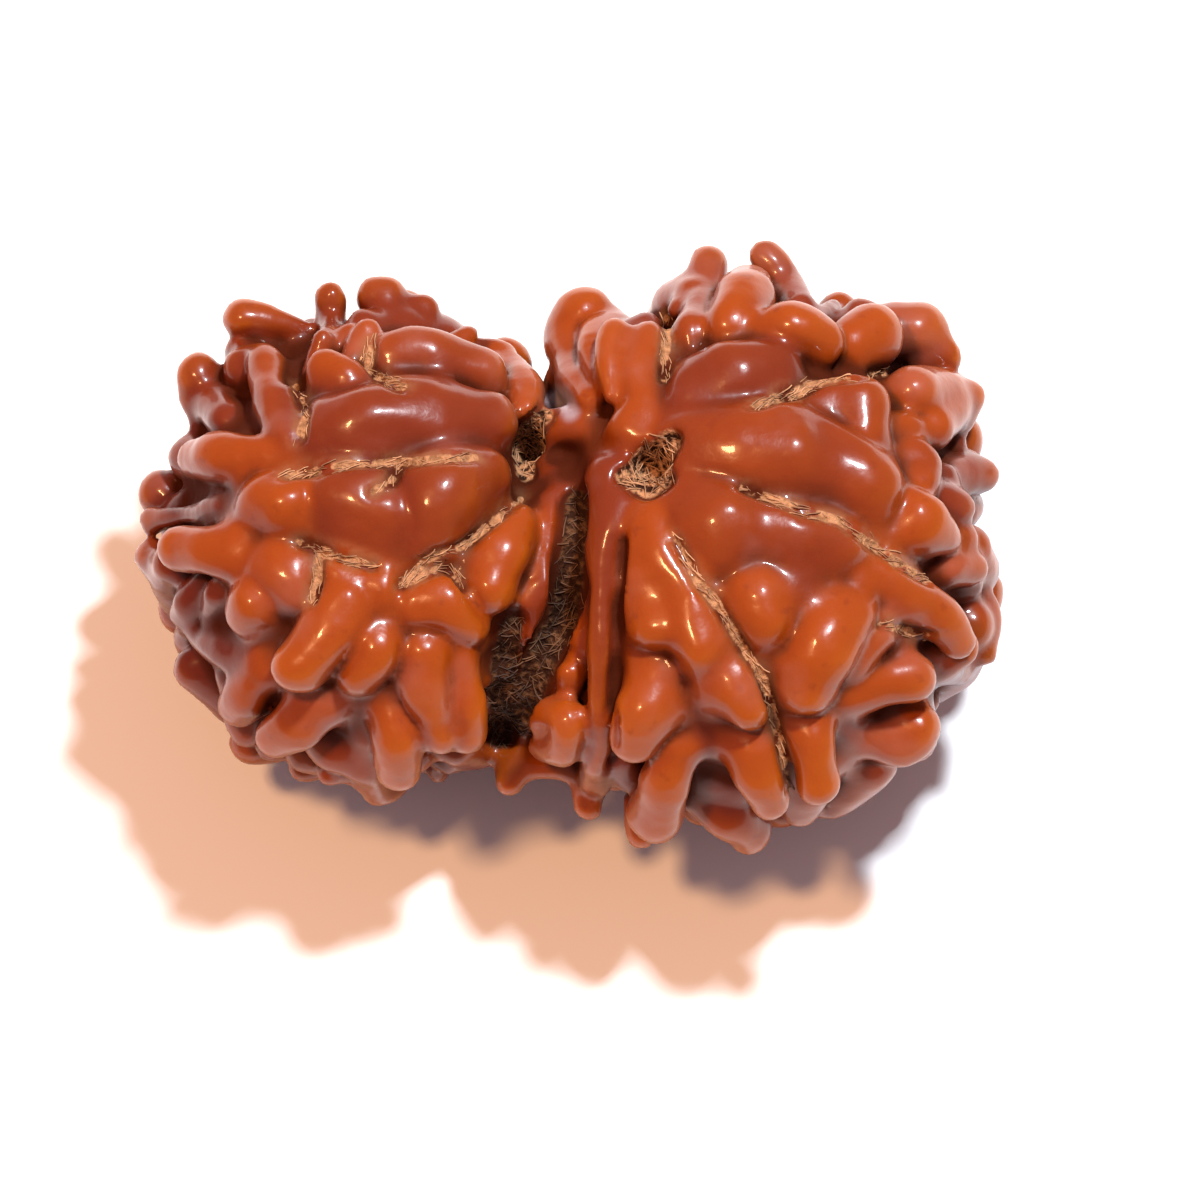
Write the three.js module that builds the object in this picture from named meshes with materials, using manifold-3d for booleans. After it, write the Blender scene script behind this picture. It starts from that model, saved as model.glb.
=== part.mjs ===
// A naturally joined pair of rudraksha: two seeds that grew together along one side, as one woody body.
// Each seed is a smooth core covered with fused, blunt lobes, which run from its stem pit over its side
// and end in free thorns round its girth. Millimetres, +Z up, X along the pair, resting on its lowest lobes.
import * as THREE from "three";
import { mergeVertices } from "three/addons/utils/BufferGeometryUtils.js";
import Module from "manifold-3d";

// Where the seed was seen from. A lobe that shows there is placed by the pixel at which it shows.
const PIXELS_PER_MM = 25;
const FRAME_MIDDLE = 600;
const SEED_IN_FRAME = [567, 548];
const VIEW_ELEVATION = THREE.MathUtils.degToRad(68);
const VIEW_DISTANCE = 420;

// The point that shows at SEED_IN_FRAME, above the surface that the seed rests on.
const SEED_MIDDLE = new THREE.Vector3(-0.265, -0.195, 9.3);

// The two cores under the lobes. The lower pits lean to the joint, the upper pits are placed by the pixel
// at which they show, and the faces are the stretches between the lines that run from pit to pit.
const CORES = {
  right: {
    middle: SEED_MIDDLE.clone().add(new THREE.Vector3(6.9, 0, -0.15)),
    half: new THREE.Vector3(8.7, 10.0, 7.8),
    towardsJoint: -1,
    lean: 0.4,
    faces: 8,
    upperPit: [652, 464],
  },
  left: {
    middle: SEED_MIDDLE.clone().add(new THREE.Vector3(-7.7, 0.2, -0.35)),
    half: new THREE.Vector3(7.4, 8.5, 7.4),
    towardsJoint: 1,
    lean: 0.7,
    faces: 6,
    upperPit: [529, 448],
  },
};

// The waist where the two seeds grew together, turned a little from square to the pair.
const JOINT = {
  middle: SEED_MIDDLE.clone().add(new THREE.Vector3(-1.1, -1.1, -0.6)),
  half: new THREE.Vector3(2.6, 6.9, 5.5),
  turn: THREE.MathUtils.degToRad(-10),
};

// The table that the seed rests on, which flattens its lowest lobes.
const TABLE_WIDTH = 80;
const TABLE_DEPTH = 10;

// The pits that the stem and the thread channel leave at both ends of each seed.
const STEM_PIT_HALF = new THREE.Vector3(1.25, 1.25, 1.6);

// A lobe's spine is a list of [pixel x, pixel y, half width in pixels, lift in mm]. The lift is how far the
// spine stands off the core's skin, LIFT above the core itself.
const LIFT = 0.45;

const RIGHT_LOBES = {
  crownRidge: [[700, 440, 30, 0], [755, 447, 44, 0.1], [820, 462, 42, 0], [872, 486, 27, 0.3]],
  upperBody: [[697, 390, 28, 0], [735, 374, 36, 0.1], [775, 362, 30, 0]],
  topMiddle: [[763, 328, 22], [795, 333, 27, 0.4], [815, 343, 19]],
  topMiddleThorn: [[812, 320, 13, 0], [833, 310, 12, 0]],
  topRight: [[848, 348, 20], [868, 338, 25, 0.5]],
  topRightThorn: [[930, 366, 16, 0], [947, 356, 13, 0.1]],
  eastTriangle: [[838, 397, 19], [856, 404, 25, 0.3], [862, 425, 15, 0.2]],
  eastBlock: [[912, 398, 26, 0.4], [938, 400, 26, 0.5], [926, 430, 18, 0.3]],
  eastEdgeA: [[966, 424, 10, -0.5], [953, 448, 12, -0.5]],
  eastStem: [[912, 452, 18, 0.1], [922, 472, 18, 0.2], [912, 498, 18, 0.1]],
  eastDrop: [[905, 508, 20, 0.3], [922, 525, 27, 0.7], [942, 538, 18, 0.5]],
  eastKnob: [[945, 565, 18, 0.1], [967, 568, 15, 0.4]],
  eastFinger: [[968, 592, 18, 0], [984, 622, 20, 0.3], [984, 652, 15, 0.3]],
  southCrown: [[700, 515, 26], [728, 528, 37, 0.1], [790, 533, 31, 0.1], [838, 548, 24, 0.2]],
  southCrownToe: [[722, 540, 30, 0.2], [728, 555, 20, 0.2]],
  farRidge: [[862, 566, 14, 0], [902, 590, 19, 0.3], [938, 618, 22, 0.6], [957, 641, 16, 0.9]],
  farRidgeUnder: [[905, 648, 14, -0.9], [938, 666, 19, -0.4], [958, 670, 16, 0]],
  middleKnob: [[758, 575, 17, 0.1], [757, 600, 26, 0.5], [768, 620, 21, 0.6]],
  cape: [[848, 615, 26, 0.3], [822, 648, 31, 0.7], [803, 688, 24, 0.8]],
  eastTongue: [[850, 690, 11, 0], [882, 680, 17, 0.3], [912, 675, 19, 0.6]],
  eastSpade: [[872, 738, 10, 0], [897, 735, 21, 0.5], [914, 726, 23, 0.8]],
  southEastFinger: [[803, 715, 18, 0.3], [811, 748, 20, 0.9], [819, 781, 20, 1.3]],
  southEastSheet: [[842, 735, 16, 0], [846, 770, 15, 0.1], [832, 808, 13, 0.2]],
  southKnob: [[712, 682, 17, 0.2], [735, 690, 22, 0.6], [750, 712, 17, 1.0]],
  southLobe: [[750, 740, 20, 0.3], [760, 770, 25, 0.8], [769, 800, 17, 1.0]],
  southFoot: [[700, 788, 14, -0.3], [728, 812, 21, 0.2], [748, 830, 23, 0.6]],
  southPillowWest: [[650, 540, 24], [648, 580, 28, 0.3], [655, 625, 27, 0.6]],
  southPillowEast: [[668, 560, 22, 0.2], [688, 605, 32, 0.4], [697, 640, 27, 0.7]],
  southWestFinger: [[645, 682, 22, 0.5], [638, 715, 23, 0.9], [631, 745, 19, 1.3]],
  brightFinger: [[670, 757, 18, 0.6], [661, 788, 24, 1.0], [650, 815, 22, 1.2]],
  jointRibEast: [
    [606, 478, 19, 0.3], [611, 520, 17, 0.4], [601, 575, 15, 0.7], [597, 640, 15, 0.8],
    [598, 700, 14, 0.8], [598, 750, 14, 0.8], [592, 788, 14, 0.8],
  ],
  jointBlock: [[563, 718, 19, 0.8], [554, 742, 18, 0.9]],
  jointShelf: [[532, 765, 13, 0.3], [560, 768, 13, 0.5], [590, 772, 16, 0.3]],
  jointToe: [[516, 752, 18, 0.6], [509, 782, 14, 0.4]],
  westCrown: [[648, 348, 26, 0.3], [633, 375, 27, 0.4], [640, 402, 20, 0.2], [625, 428, 14, 0.3]],
  earOuter: [[578, 312, 29, 0.6], [573, 340, 27, 0.5], [590, 388, 12, 0.3]],
  northThornWest: [[692, 335, 22, 0.1], [702, 295, 21, 0.2], [708, 260, 16, 0.3]],
  northThornMiddle: [[732, 325, 24, 0], [738, 292, 27, 0.2]],
  northThornEast: [[792, 316, 15, 0], [781, 290, 12, 0], [772, 266, 11, 0.1], [761, 255, 12, 0.2]],
};

const LEFT_LOBES = {
  jointEast: [[503, 360, 21, 0.3], [527, 382, 20, 0.7], [532, 412, 14, 0.9]],
  crownNorth: [[388, 360, 25], [432, 362, 31, 0.1], [476, 378, 29, 0.2]],
  crownMiddle: [[335, 424, 28, 0], [368, 422, 35, 0.1], [430, 418, 36, 0], [484, 422, 31, 0.2]],
  crownSouth: [[482, 478, 29, 0.2], [442, 498, 44, 0.1], [428, 534, 30, 0.1]],
  crownSouthWest: [[338, 494, 26, 0.1], [368, 502, 27, 0.2], [395, 520, 24, 0.1]],
  northWestArch: [[325, 372, 22, 0.2], [346, 378, 19, 0.3]],
  westRing: [[264, 498, 19, 0.5], [282, 503, 21, 0.8], [298, 492, 14, 0.5]],
  westFinger: [[196, 459, 21, 0.4], [230, 458, 22, 0.4], [262, 454, 19, 0.1]],
  westThorn: [[201, 374, 19, 0.3], [215, 395, 19, 0.2], [226, 420, 16, 0]],
  northWestBend: [[238, 352, 17, 0.3], [264, 366, 21, 0.3], [272, 402, 19, 0.2], [280, 432, 17, 0.2]],
  northWestPaw: [[245, 320, 21, 0.3], [272, 322, 20, 0.3], [305, 330, 18, 0.1]],
  northPeg: [[329, 298, 15, 0.3], [330, 325, 13, 0.2]],
  northTooth: [[370, 298, 20, 0.2], [384, 300, 20, 0.3], [382, 322, 18, 0.1]],
  northKnob: [[345, 334, 13, 0.3], [355, 338, 12, 0.2]],
  farWestThorn: [[152, 519, 13, 0], [190, 515, 13, 0], [225, 508, 12, -0.3]],
  farWestFinger: [[182, 549, 20, 0.9], [215, 551, 18, 0.7], [252, 556, 12, 0.2]],
  pitKnobLarge: [[252, 606, 16, 0.6], [245, 618, 15, 0.5]],
  pitEdgeSouth: [[205, 636, 16, -0.2], [230, 650, 18, -0.1], [248, 655, 16, 0]],
  pitBridge: [[262, 562, 14, 0.2], [284, 572, 19, 0.4], [295, 590, 15, 0.3]],
  longFinger: [[345, 598, 19, 0.5], [326, 638, 24, 0.8], [298, 667, 22, 1.2]],
  netKnob: [[338, 574, 15, 0.3], [360, 578, 14, 0.2], [386, 590, 14, 0.4]],
  southCape: [[418, 598, 21, 0.4], [444, 598, 24, 0.6], [468, 622, 17, 0.6]],
  southEastPillow: [[517, 522, 20, 0.7], [500, 552, 28, 0.9], [489, 584, 27, 1.0]],
  southPeg: [[384, 640, 15, 0.2], [372, 658, 18, 0.6], [358, 672, 13, 0.8]],
  southPawWest: [[425, 658, 18, 0.4], [424, 682, 19, 0.6], [440, 722, 20, 0.9]],
  southPawEast: [[450, 668, 18, 0.4], [456, 700, 21, 1.0], [457, 732, 20, 1.2]],
  southWestPaw: [[262, 668, 15, 0.1], [250, 690, 18, 0.3], [237, 706, 18, 0.5]],
  southWestFinger: [[318, 708, 18, 0.5], [296, 728, 18, 0.7], [275, 740, 13, 0.7]],
  southFinger: [[397, 716, 13, 0.4], [398, 745, 20, 0.9], [395, 775, 17, 1.1]],
  jointRibWest: [
    [566, 462, 16, 0.7], [551, 508, 15, 0.6], [549, 548, 14, 0.6], [535, 595, 13, 0.5], [500, 645, 12, 0.3],
  ],
  jointWeb: [[552, 412, 17, 0.8], [578, 425, 19, 1.0], [590, 448, 19, 1.2], [584, 472, 16, 1.0]],
};

// The lobes that don't show in that view grow by a rule: spread evenly over each core, in as many faces
// as the seed has, they run away from its lower pit and their far ends stand free. HIDDEN_FACING is how far
// a lobe may face the view and still be one of them, from 0 at the outline to 1 straight at the eye.
const HIDDEN_AREA = 20;
const HIDDEN_HALF_WIDTH = 1.35;
const HIDDEN_REACH = 2.4;
const HIDDEN_FACING = 0.25;
const HIDDEN_TIP_LIFT = 0.9;
const HIDDEN_SWAY = 0.7;
const FACE_SQUEEZE = 0.8;
const FACE_DRIFT = 0.3;
const GOLDEN_ANGLE = Math.PI * (3 - Math.sqrt(5));

// A lobe's section has few sides, so it is made a little wider than a round one, and its underside reaches
// down to the core. RING_SPACING is in half widths, and CAP_ANGLE is where the round ends have their ring.
const SIDES = 5;
const SECTION_GAIN = 1.2;
const ROOT_DEPTH = 0.8;
const RING_SPACING = 2.8;
const CAP_ANGLE = THREE.MathUtils.degToRad(48);
const CORE_DETAIL = 2;

const viewRight = new THREE.Vector3(1, 0, 0);
const viewUp = new THREE.Vector3(0, Math.sin(VIEW_ELEVATION), Math.cos(VIEW_ELEVATION));
const viewBack = new THREE.Vector3(0, -Math.cos(VIEW_ELEVATION), Math.sin(VIEW_ELEVATION));
const frameMiddle = SEED_MIDDLE.clone()
  .addScaledVector(viewRight, (FRAME_MIDDLE - SEED_IN_FRAME[0]) / PIXELS_PER_MM)
  .addScaledVector(viewUp, (SEED_IN_FRAME[1] - FRAME_MIDDLE) / PIXELS_PER_MM);
const eye = frameMiddle.clone().addScaledVector(viewBack, VIEW_DISTANCE);

// The same number from 0 to 1 for the same seed, whatever the machine.
function draw(seed) {
  const s = Math.sin(seed * 12.9898 + 4.1414) * 43758.5453;
  return s - Math.floor(s);
}

// The point where the sight line through a pixel meets a core grown by the lift. Past the core's
// outline it is where the line passes nearest to it.
function seenPoint(core, x, y, lift) {
  const direction = frameMiddle.clone()
    .addScaledVector(viewRight, (x - FRAME_MIDDLE) / PIXELS_PER_MM)
    .addScaledVector(viewUp, (FRAME_MIDDLE - y) / PIXELS_PER_MM)
    .sub(eye)
    .normalize();
  const grown = core.half.clone().addScalar(lift);
  const from = eye.clone().sub(core.middle).divide(grown);
  const step = direction.clone().divide(grown);
  const a = step.dot(step);
  const b = from.dot(step);
  const c = from.dot(from) - 1;
  const inside = Math.max(0, b * b - a * c);
  return eye.clone().addScaledVector(direction, (-b - Math.sqrt(inside)) / a);
}

// The point straight out from a core's middle through a given point, at a lift above the core.
function onCore(core, point, lift) {
  const outward = point.clone().sub(core.middle);
  outward.divideScalar(outward.clone().divide(core.half).length());
  return outward.clone().setLength(outward.length() + lift).add(core.middle);
}

function normalAt(core, point) {
  return point.clone().sub(core.middle).divide(core.half).divide(core.half).normalize();
}

// A core's lower pit leans to the joint, so the far side of each seed bulges.
function lowerPitDirection(core) {
  return new THREE.Vector3(core.lean * core.towardsJoint, 0, -1).normalize();
}

// One lobe as a closed tube with round ends, along a smooth spine through its points.
function lobeGeometry({ core, points, halves: roundHalves }) {
  const halves = roundHalves.map((half) => SECTION_GAIN * half);
  const curve = new THREE.CatmullRomCurve3(points, false, "catmullrom", 0.5);
  const halfAt = (t) => {
    const place = t * (halves.length - 1);
    const i = Math.min(Math.floor(place), halves.length - 2);
    return THREE.MathUtils.lerp(halves[i], halves[i + 1], place - i);
  };
  const middleHalf = halves.reduce((sum, h) => sum + h, 0) / halves.length;
  const steps = Math.max(1, Math.round(curve.getLength() / (middleHalf * RING_SPACING)));
  const rings = [];
  const startTangent = curve.getTangent(0);
  const endTangent = curve.getTangent(1);
  const capReach = Math.sin(CAP_ANGLE);
  const capWidth = Math.cos(CAP_ANGLE);
  rings.push({ at: points[0].clone().addScaledVector(startTangent, -halves[0] * capReach),
    along: startTangent, half: halves[0] * capWidth });
  for (let i = 0; i <= steps; i++) {
    const t = i / steps;
    rings.push({ at: curve.getPoint(t), along: curve.getTangent(t), half: halfAt(t) });
  }
  const last = halves.length - 1;
  rings.push({ at: points[last].clone().addScaledVector(endTangent, halves[last] * capReach),
    along: endTangent, half: halves[last] * capWidth });

  const positions = [];
  const faces = [];
  for (const ring of rings) {
    const outward = normalAt(core, ring.at).projectOnPlane(ring.along).normalize();
    const across = new THREE.Vector3().crossVectors(ring.along, outward);
    for (let j = 0; j < SIDES; j++) {
      const angle = (j / SIDES) * 2 * Math.PI;
      const height = ring.half * Math.cos(angle);
      const p = ring.at.clone()
        .addScaledVector(outward, height < -0.5 * ring.half ? height - ROOT_DEPTH : height)
        .addScaledVector(across, ring.half * Math.sin(angle));
      positions.push(p.x, p.y, p.z);
    }
  }
  for (let i = 0; i + 1 < rings.length; i++) {
    for (let j = 0; j < SIDES; j++) {
      const a = i * SIDES + j;
      const b = i * SIDES + ((j + 1) % SIDES);
      faces.push(a, b, b + SIDES, a, b + SIDES, a + SIDES);
    }
  }
  const startTip = rings.length * SIDES;
  const endTip = startTip + 1;
  const start = points[0].clone().addScaledVector(startTangent, -halves[0]);
  const end = points[last].clone().addScaledVector(endTangent, halves[last]);
  positions.push(start.x, start.y, start.z, end.x, end.y, end.z);
  for (let j = 0; j < SIDES; j++) {
    const next = (j + 1) % SIDES;
    faces.push(startTip, next, j);
    const base = (rings.length - 1) * SIDES;
    faces.push(endTip, base + j, base + next);
  }
  return new THREE.BufferGeometry()
    .setAttribute("position", new THREE.Float32BufferAttribute(positions, 3))
    .setIndex(faces);
}

function ellipsoidGeometry(middle, half, detail, turn = 0) {
  return new THREE.IcosahedronGeometry(1, detail)
    .scale(half.x, half.y, half.z)
    .rotateZ(turn)
    .translate(middle.x, middle.y, middle.z);
}

// The spines of the lobes that show in the view.
function seenSpines(core, lobes) {
  return Object.values(lobes).map((spine) => ({
    core,
    points: spine.map(([x, y, , lift = 0]) => seenPoint(core, x, y, LIFT + lift)),
    halves: spine.map(([, , half]) => half / PIXELS_PER_MM),
  }));
}

// The spines of the lobes that face away from the view.
function hiddenSpines(core, otherCore, firstSeed) {
  const pit = lowerPitDirection(core);
  const side = new THREE.Vector3(0, 1, 0);
  const across = new THREE.Vector3().crossVectors(pit, side);
  const meanHalf = Math.cbrt(core.half.x * core.half.y * core.half.z);
  const count = Math.round((4 * Math.PI * meanHalf * meanHalf) / HIDDEN_AREA);
  const faceTurn = (2 * Math.PI) / core.faces;
  const spines = [];
  for (let i = 1; i < count; i++) {
    const seed = firstSeed + i;
    const towardsPit = 1 - (2 * i + 0.5 + draw(seed)) / count;
    const face = (i * GOLDEN_ANGLE) / faceTurn + FACE_DRIFT * draw(seed + 0.1);
    const turn = faceTurn * (Math.floor(face) + 0.5 + FACE_SQUEEZE * (face - Math.floor(face) - 0.5));
    const ring = Math.sqrt(1 - towardsPit * towardsPit);
    const outward = pit.clone().multiplyScalar(towardsPit)
      .addScaledVector(side, ring * Math.cos(turn))
      .addScaledVector(across, ring * Math.sin(turn));
    const middle = onCore(core, outward.add(core.middle), LIFT);
    const normal = normalAt(core, middle);
    const facing = normal.dot(viewBack);
    const inOther = middle.clone().sub(otherCore.middle).divide(otherCore.half).length() < 1;
    if (facing > HIDDEN_FACING || inOther) continue;
    const away = pit.clone().negate().projectOnPlane(normal).normalize()
      .applyAxisAngle(normal, HIDDEN_SWAY * (draw(seed + 0.2) - 0.5));
    const reach = HIDDEN_REACH * (0.8 + 0.4 * draw(seed + 0.3));
    const half = HIDDEN_HALF_WIDTH * (0.85 + 0.3 * draw(seed + 0.4));
    const tipLift = HIDDEN_TIP_LIFT * THREE.MathUtils.clamp(-3 * facing, -0.5, 1);
    const root = onCore(core, middle.clone().addScaledVector(away, -reach), LIFT);
    const tip = onCore(core, middle.clone().addScaledVector(away, reach), LIFT + tipLift);
    spines.push({ core, points: [root, middle, tip], halves: [0.85 * half, half, 0.8 * half] });
  }
  return spines;
}

const wasm = await Module();
wasm.setup();

function toSolid(geometry) {
  const bare = geometry.clone();
  bare.deleteAttribute("normal");
  bare.deleteAttribute("uv");
  const merged = mergeVertices(bare, 1e-4);
  return new wasm.Manifold(new wasm.Mesh({
    numProp: 3,
    vertProperties: merged.attributes.position.array,
    triVerts: new Uint32Array(merged.index.array),
  }));
}

function toGeometry(solid) {
  const mesh = solid.getMesh();
  return new THREE.BufferGeometry()
    .setAttribute("position", new THREE.BufferAttribute(mesh.vertProperties, 3))
    .setIndex(new THREE.BufferAttribute(mesh.triVerts, 1));
}

// The largest of the bodies that the cuts and joins leave, without loose scraps and sealed hollows.
function mainBody(solid) {
  return solid.decompose().reduce((best, body) => (body.volume() > best.volume() ? body : best));
}

function buildSeed() {
  const spines = [
    ...seenSpines(CORES.right, RIGHT_LOBES),
    ...seenSpines(CORES.left, LEFT_LOBES),
    ...hiddenSpines(CORES.right, CORES.left, 100),
    ...hiddenSpines(CORES.left, CORES.right, 500),
  ];
  let seed = toSolid(ellipsoidGeometry(CORES.right.middle, CORES.right.half, CORE_DETAIL))
    .add(toSolid(ellipsoidGeometry(CORES.left.middle, CORES.left.half, CORE_DETAIL)))
    .add(toSolid(ellipsoidGeometry(JOINT.middle, JOINT.half, 2, JOINT.turn)));
  for (const spine of spines) seed = seed.add(toSolid(lobeGeometry(spine)));
  for (const core of Object.values(CORES)) {
    const upper = seenPoint(core, core.upperPit[0], core.upperPit[1], 0);
    const lower = onCore(core, lowerPitDirection(core).add(core.middle), 0);
    seed = seed.subtract(toSolid(ellipsoidGeometry(upper, STEM_PIT_HALF, 1)))
      .subtract(toSolid(ellipsoidGeometry(lower, STEM_PIT_HALF, 1)));
  }
  const table = new THREE.BoxGeometry(TABLE_WIDTH, TABLE_WIDTH, TABLE_DEPTH)
    .translate(0, 0, -TABLE_DEPTH / 2);
  return toGeometry(mainBody(seed.subtract(toSolid(table))));
}

const shell = new THREE.MeshStandardMaterial({ color: 0xa8481c, roughness: 0.32, metalness: 0 });
const seedMesh = new THREE.Mesh(buildSeed(), shell);
seedMesh.name = "rudraksha_seed";

const rudraksha = new THREE.Group();
rudraksha.add(seedMesh);

export default rudraksha;
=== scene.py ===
# %% [markdown]
# # A rudraksha pair
# Rudraksha are the woody stones of a forest fruit. This one is a joined pair: two stones that grew
# together along one side. Each is a round core under fused, blunt lobes, with lines that run from pit to
# pit, tan fibres caught in the grooves and a waxy, oiled skin. Sizes below are in millimetres, the
# modeller's own unit for something this small, and only the finished meshes are turned into metres.

import math

import bpy
import numpy as np
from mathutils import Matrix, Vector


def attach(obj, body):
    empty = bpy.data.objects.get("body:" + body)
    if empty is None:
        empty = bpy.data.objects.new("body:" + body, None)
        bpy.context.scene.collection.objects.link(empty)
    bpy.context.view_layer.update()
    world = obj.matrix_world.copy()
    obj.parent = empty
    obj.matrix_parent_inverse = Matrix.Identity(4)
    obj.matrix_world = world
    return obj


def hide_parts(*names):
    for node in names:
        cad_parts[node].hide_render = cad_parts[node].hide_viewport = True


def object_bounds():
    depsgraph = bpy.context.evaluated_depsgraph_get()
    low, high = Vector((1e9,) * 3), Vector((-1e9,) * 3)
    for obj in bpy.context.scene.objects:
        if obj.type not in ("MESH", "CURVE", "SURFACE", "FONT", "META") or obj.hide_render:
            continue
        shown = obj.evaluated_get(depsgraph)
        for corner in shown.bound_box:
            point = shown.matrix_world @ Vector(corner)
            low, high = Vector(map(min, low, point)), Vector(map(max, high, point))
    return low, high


MM = 0.001

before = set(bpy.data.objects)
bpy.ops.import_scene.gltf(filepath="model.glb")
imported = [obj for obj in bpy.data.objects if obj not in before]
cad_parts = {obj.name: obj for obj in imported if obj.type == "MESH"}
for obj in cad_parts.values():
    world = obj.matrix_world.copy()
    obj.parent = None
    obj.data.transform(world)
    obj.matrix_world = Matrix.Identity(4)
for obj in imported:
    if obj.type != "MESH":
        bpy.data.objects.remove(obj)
cad_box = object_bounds()
box_low = np.array(cad_box[0]) / MM
box_high = np.array(cad_box[1]) / MM
print("solid from", box_low.round(2), "to", box_high.round(2), "mm")

# %% [markdown]
# ## Where it is seen from
# The lobes of a natural seed follow no rule, so those that can be seen are placed one by one: each is a
# short row of points picked where it shows in the picture. To give such a point a depth, a sight line is
# sent from the eye through its pixel, and the point is set where that line meets the round core of the
# seed.
# The same few numbers place the camera at the end, so lobes and camera can't drift apart.

# %% The view
PIXELS_PER_MM = 25
FRAME_WIDTH = 1200
SEED_IN_FRAME = np.array([567.0, 548.0])
VIEW_ELEVATION = math.radians(68)
VIEW_DISTANCE = 420.0
SEED_MIDDLE = np.array([-0.265, -0.195, 9.3])

view_right = np.array([1.0, 0.0, 0.0])
view_up = np.array([0.0, math.sin(VIEW_ELEVATION), math.cos(VIEW_ELEVATION)])
view_back = np.array([0.0, -math.cos(VIEW_ELEVATION), math.sin(VIEW_ELEVATION)])
off_middle = (FRAME_WIDTH / 2 - SEED_IN_FRAME) / PIXELS_PER_MM
frame_middle = SEED_MIDDLE + off_middle[0] * view_right - off_middle[1] * view_up
eye = frame_middle + VIEW_DISTANCE * view_back


def sight_line(x, y):
    """The unit direction from the eye through a pixel."""
    through = (x - FRAME_WIDTH / 2) * view_right + (FRAME_WIDTH / 2 - y) * view_up
    line = frame_middle + through / PIXELS_PER_MM - eye
    return line / np.linalg.norm(line)


print("eye at", eye.round(1), "mm, frame", FRAME_WIDTH / PIXELS_PER_MM, "mm wide")

# %% [markdown]
# ## The two cores
# Under the lobes each stone is close to an ellipsoid. The pits at its ends lean towards the joint,
# because the side that grew against the other stone stayed short. A third, smaller ellipsoid is the
# waist between them. In the end these cores are seen only as the low ground between lobes.

# %% Cores
CORES = {
    "right": {
        "middle": SEED_MIDDLE + (6.9, 0.0, -0.15),
        "half": np.array([8.7, 10.0, 7.8]),
        "lower_pit": np.array([-0.4, 0.0, -1.0]),
        "upper_pit": (652, 464),
        "faces": 8,
    },
    "left": {
        "middle": SEED_MIDDLE + (-7.7, 0.2, -0.35),
        "half": np.array([7.4, 8.5, 7.4]),
        "lower_pit": np.array([0.7, 0.0, -1.0]),
        "upper_pit": (529, 448),
        "faces": 6,
    },
}
JOINT_MIDDLE = SEED_MIDDLE + (-1.1, -1.0, 0.1)
JOINT_HALF = np.array([2.6, 6.6, 4.8])
JOINT_TURN = math.radians(-10)
LIFT = 0.45


def seen_point(core, x, y, lift):
    """Where the sight line through a pixel meets a core grown by the lift, or passes nearest to it."""
    line = sight_line(x, y)
    grown = core["half"] + lift
    start = (eye - core["middle"]) / grown
    step = line / grown
    a = step @ step
    b = start @ step
    inside = max(0.0, b * b - a * (start @ start - 1))
    return eye + (-b - math.sqrt(inside)) / a * line


def on_core(core, point, lift):
    """The point of a core, grown by the lift, straight out through another point."""
    outward = point - core["middle"]
    outward = outward / np.linalg.norm(outward / core["half"])
    reach = np.linalg.norm(outward)
    return core["middle"] + outward * (reach + lift) / reach


def core_normal(core, point):
    """The direction straight out of a core at a point near its skin."""
    slope = (point - core["middle"]) / core["half"] ** 2
    return slope / np.linalg.norm(slope)


print("cores are", [tuple(2 * c["half"]) for c in CORES.values()], "mm")

# %% [markdown]
# ## The lobes that show
# Each entry is a lobe's spine: pixel x, pixel y, half width in pixels, and how far in millimetres the
# spine stands off the seed's skin. Lobes keep a crease where they touch. The swells after them are the
# soft shoulders and the low ground behind the lobes, and they melt into whatever they lie against.

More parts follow.
